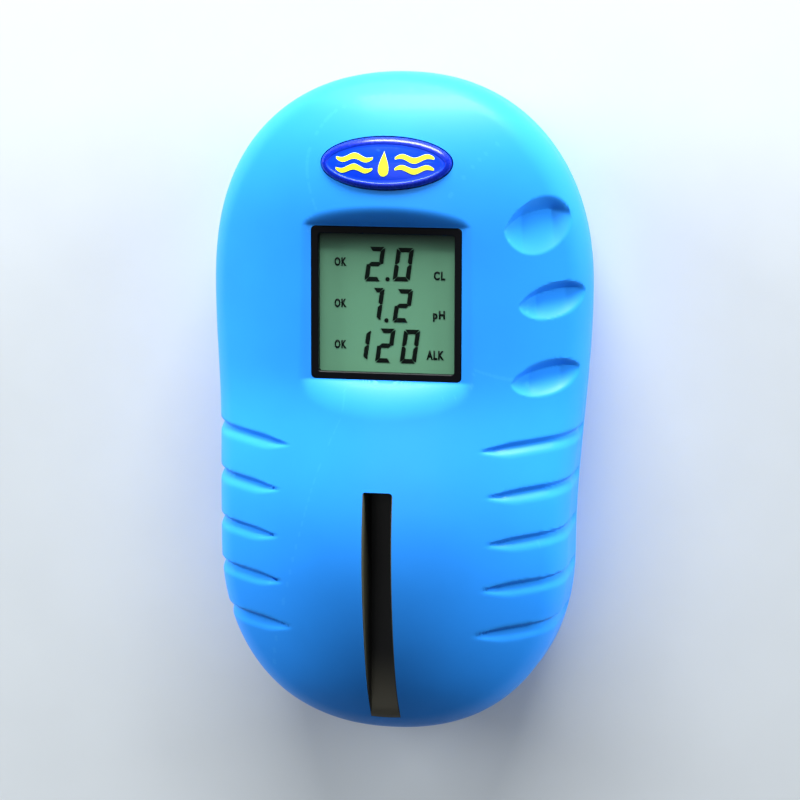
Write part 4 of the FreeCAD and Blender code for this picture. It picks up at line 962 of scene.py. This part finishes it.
# Object name, text, left, right, bottom, top
LEGENDS = [
    ("legend_ok_%d" % (k + 1), "OK", -10.2353, -7.9284,
     26.8580 - k * ROW_PITCH, 28.5011 - k * ROW_PITCH)
    for k in range(3)
] + [
    ("legend_cl", "CL", 8.9095, 11.0838, 24.5752, 26.2401),
    ("legend_ph", "pH", 8.7769, 11.0838, 16.7285, 18.8421),
    ("legend_alk", "ALK", 7.5837, 10.8982, 9.5010, 11.2551),
]


def digit_bars(digit, left, right, bottom, top):
    """Mitred bars of one slanted numeral inside its box."""
    tall = top - bottom
    half = BAR / 2
    run_x = right - left - SLANT * tall - BAR
    run_y = tall - BAR
    overrun = (half - BAR_GAP) * 0.55
    setback = half * 0.15

    def outer_end(level):
        """How far a side bar's outer edge runs past its end."""
        return -setback if level == 0.5 else overrun

    bars = []
    for key in DIGITS[digit]:
        (across_a, up_a), (across_b, up_b) = SEGMENTS[key]
        start = Vector((half + across_a * run_x, half + up_a * run_y))
        end = Vector((half + across_b * run_x, half + up_b * run_y))
        along = (end - start).normalized()
        start, end = start + along * BAR_GAP, end - along * BAR_GAP
        mitre = along * half
        if key == "g":
            out = Vector((-along.y, along.x)) * half
            corners = [start, start + mitre + out, end - mitre + out,
                       end, end - mitre - out, start + mitre - out]
        elif key in "ad":
            out = Vector((0, half if key == "a" else -half))
            corners = [start + out - along * overrun, end + out + along * overrun,
                       end - mitre - out, start + mitre - out]
        else:
            out = Vector((half if key in "bc" else -half, 0))
            corners = [start, start + out - along * outer_end(up_a),
                       end + out + along * outer_end(up_b), end,
                       end - out - mitre, start - out + mitre]
        bars.append([(left + v.x + SLANT * v.y, bottom + v.y) for v in corners])
    return bars


def legend(name, text, left, right, bottom, top):
    """A small fixed legend, made from the built-in font and scaled to its box."""
    curve = bpy.data.curves.new(name, "FONT")
    curve.body = text
    curve.offset = 0.042
    curve.space_character = 1.22
    curve.resolution_u = 6
    source = link_mesh(name + "_tmp", curve)
    depsgraph = bpy.context.evaluated_depsgraph_get()
    mesh = bpy.data.meshes.new_from_object(source.evaluated_get(depsgraph))
    bpy.data.objects.remove(source)
    points = np.array([v.co[:] for v in mesh.vertices])
    low, size = points.min(0), np.ptp(points, axis=0)
    work = bmesh.new()
    work.from_mesh(mesh)
    for vert in work.verts:
        across, up = (vert.co.x - low[0]) / size[0], (vert.co.y - low[1]) / size[1]
        vert.co = ((left + across * (right - left)) * MM, (bottom + up * (top - bottom)) * MM,
                   (LCD_Z + 0.012) * MM)
    extruded = bmesh.ops.extrude_face_region(work, geom=work.faces[:])
    for vert in extruded["geom"]:
        if isinstance(vert, bmesh.types.BMVert):
            vert.co.z += 0.035 * MM
    bmesh.ops.recalc_face_normals(work, faces=work.faces)
    work.to_mesh(mesh)
    work.free()
    return link_mesh(name, mesh)


for name, numerals, point in ROWS:
    bars = [bar for numeral in numerals for bar in digit_bars(*numeral)]
    if point:
        bars.append([(point[0] + DOT_RADIUS * math.cos(angle),
                      point[1] + DOT_RADIUS * math.sin(angle))
                     for angle in np.linspace(0, 2 * math.pi, 20, endpoint=False)])
    dress(prisms(name, bars, LCD_Z + 0.01, LCD_Z + 0.05), "ink")
for row in LEGENDS:
    dress(legend(*row), "ink")


# ------------------------------------------------------------ floor, light, camera
def floor_material():
    """Pale floor that lets through rays from below and rays shorter than 1.6 mm."""
    material = surface("pale_floor", (0.66, 0.69, 0.72), rough=0.85, vary=0.01, grain=30,
                       bump=0.02)
    tree = material.node_tree
    link = tree.links.new
    through = add_node(tree, "ShaderNodeBsdfTransparent")
    mix = add_node(tree, "ShaderNodeMixShader")
    geometry = add_node(tree, "ShaderNodeNewGeometry")
    path = add_node(tree, "ShaderNodeLightPath")
    close = add_node(tree, "ShaderNodeMath", {1: 0.0016}, operation="LESS_THAN")
    either = add_node(tree, "ShaderNodeMath", operation="MAXIMUM")
    link(path.outputs["Ray Length"], close.inputs[0])
    link(close.outputs[0], either.inputs[0])
    link(geometry.outputs["Backfacing"], either.inputs[1])
    link(either.outputs[0], mix.inputs[0])
    link(tree.nodes["Principled BSDF"].outputs[0], mix.inputs[1])
    link(through.outputs[0], mix.inputs[2])
    link(mix.outputs[0], tree.nodes["Material Output"].inputs["Surface"])
    return material


def stage_floor():
    """A 6 m square floor with a hole under the case, a little inside its outline."""
    count, inset, half_size, z = 96, 5.5, 3000.0, -0.2
    hole = [(x - inset * normal_x, y - inset * normal_y)
            for x, y, normal_x, normal_y in zip(*outline(count))]
    rim = []
    for x, y in hole:
        scale = half_size / max(abs(x), abs(y))
        rim.append((x * scale, y * scale))
    faces = [(i, (i + 1) % count, count + (i + 1) % count, count + i) for i in range(count)]
    floor = grid_mesh("studio_floor", [(x, y, z) for x, y in hole + rim], faces)
    paint(floor, floor_material())


# Name, location, aim and size in metres, power in watts, colour, seen in reflections
LIGHTS = [
    ("key", (0.03, 0.97, 0.27), (0, 0.01, 0.025), (0.8, 0.34), 27.5, (0.97, 1.0, 1.0), True),
    ("left", (-0.78, 0.36, 0.17), (0, 0, 0.02), (0.5, 0.22), 11.0, (0.95, 1.0, 1.0), False),
    ("right", (0.78, 0.36, 0.17), (0, 0, 0.02), (0.5, 0.22), 9.0, (0.95, 1.0, 1.0), False),
    ("top", (-0.05, 0.25, 0.95), (0, 0, 0.02), (0.5, 0.5), 1.0, (1.0, 1.0, 1.0), True),
    ("below", (0.0, -0.10, -0.80), (0, 0, 0.0), (0.7, 0.7), 9.0, (1.0, 1.0, 1.0), False),
]


def area_light(name, location, aim, size, power, colour, glossy):
    light = bpy.data.lights.new(name, "AREA")
    light.shape = "RECTANGLE"
    light.size, light.size_y = size
    light.energy = power
    light.color = colour
    obj = link_mesh(name, light)
    obj.location = location
    obj.rotation_euler = (Vector(aim) - Vector(location)).to_track_quat("-Z", "Y").to_euler()
    obj.visible_glossy = glossy


def set_world():
    world = bpy.data.worlds.new("studio")
    scene.world = world
    world.use_nodes = True
    set_inputs(world.node_tree.nodes["Background"],
               {"Color": (0.80, 0.88, 1.0, 1), "Strength": 0.11})
    scene.view_settings.view_transform = "Standard"
    scene.view_settings.look = "None"


def set_camera():
    """Look down on the case from 0.6 m, a little from the +X and +Y sides."""
    right = Vector((0.976, 0.002, -0.216))
    back = Vector((0.214, 0.143, 0.966)).normalized()
    right = (right - back * right.dot(back)).normalized()
    up = back.cross(right).normalized()
    camera = bpy.data.cameras.new("camera")
    camera.lens = 140.0
    camera.sensor_width = 36.0
    camera.clip_start = 0.01
    camera.clip_end = 20
    obj = link_mesh("camera", camera)
    obj.matrix_world = Matrix((right, up, back)).transposed().to_4x4()
    obj.location = Vector((0.0, 0.0, 0.0145)) + back * 0.6
    scene.camera = obj


stage_floor()
for row in LIGHTS:
    area_light(*row)
set_world()
set_camera()
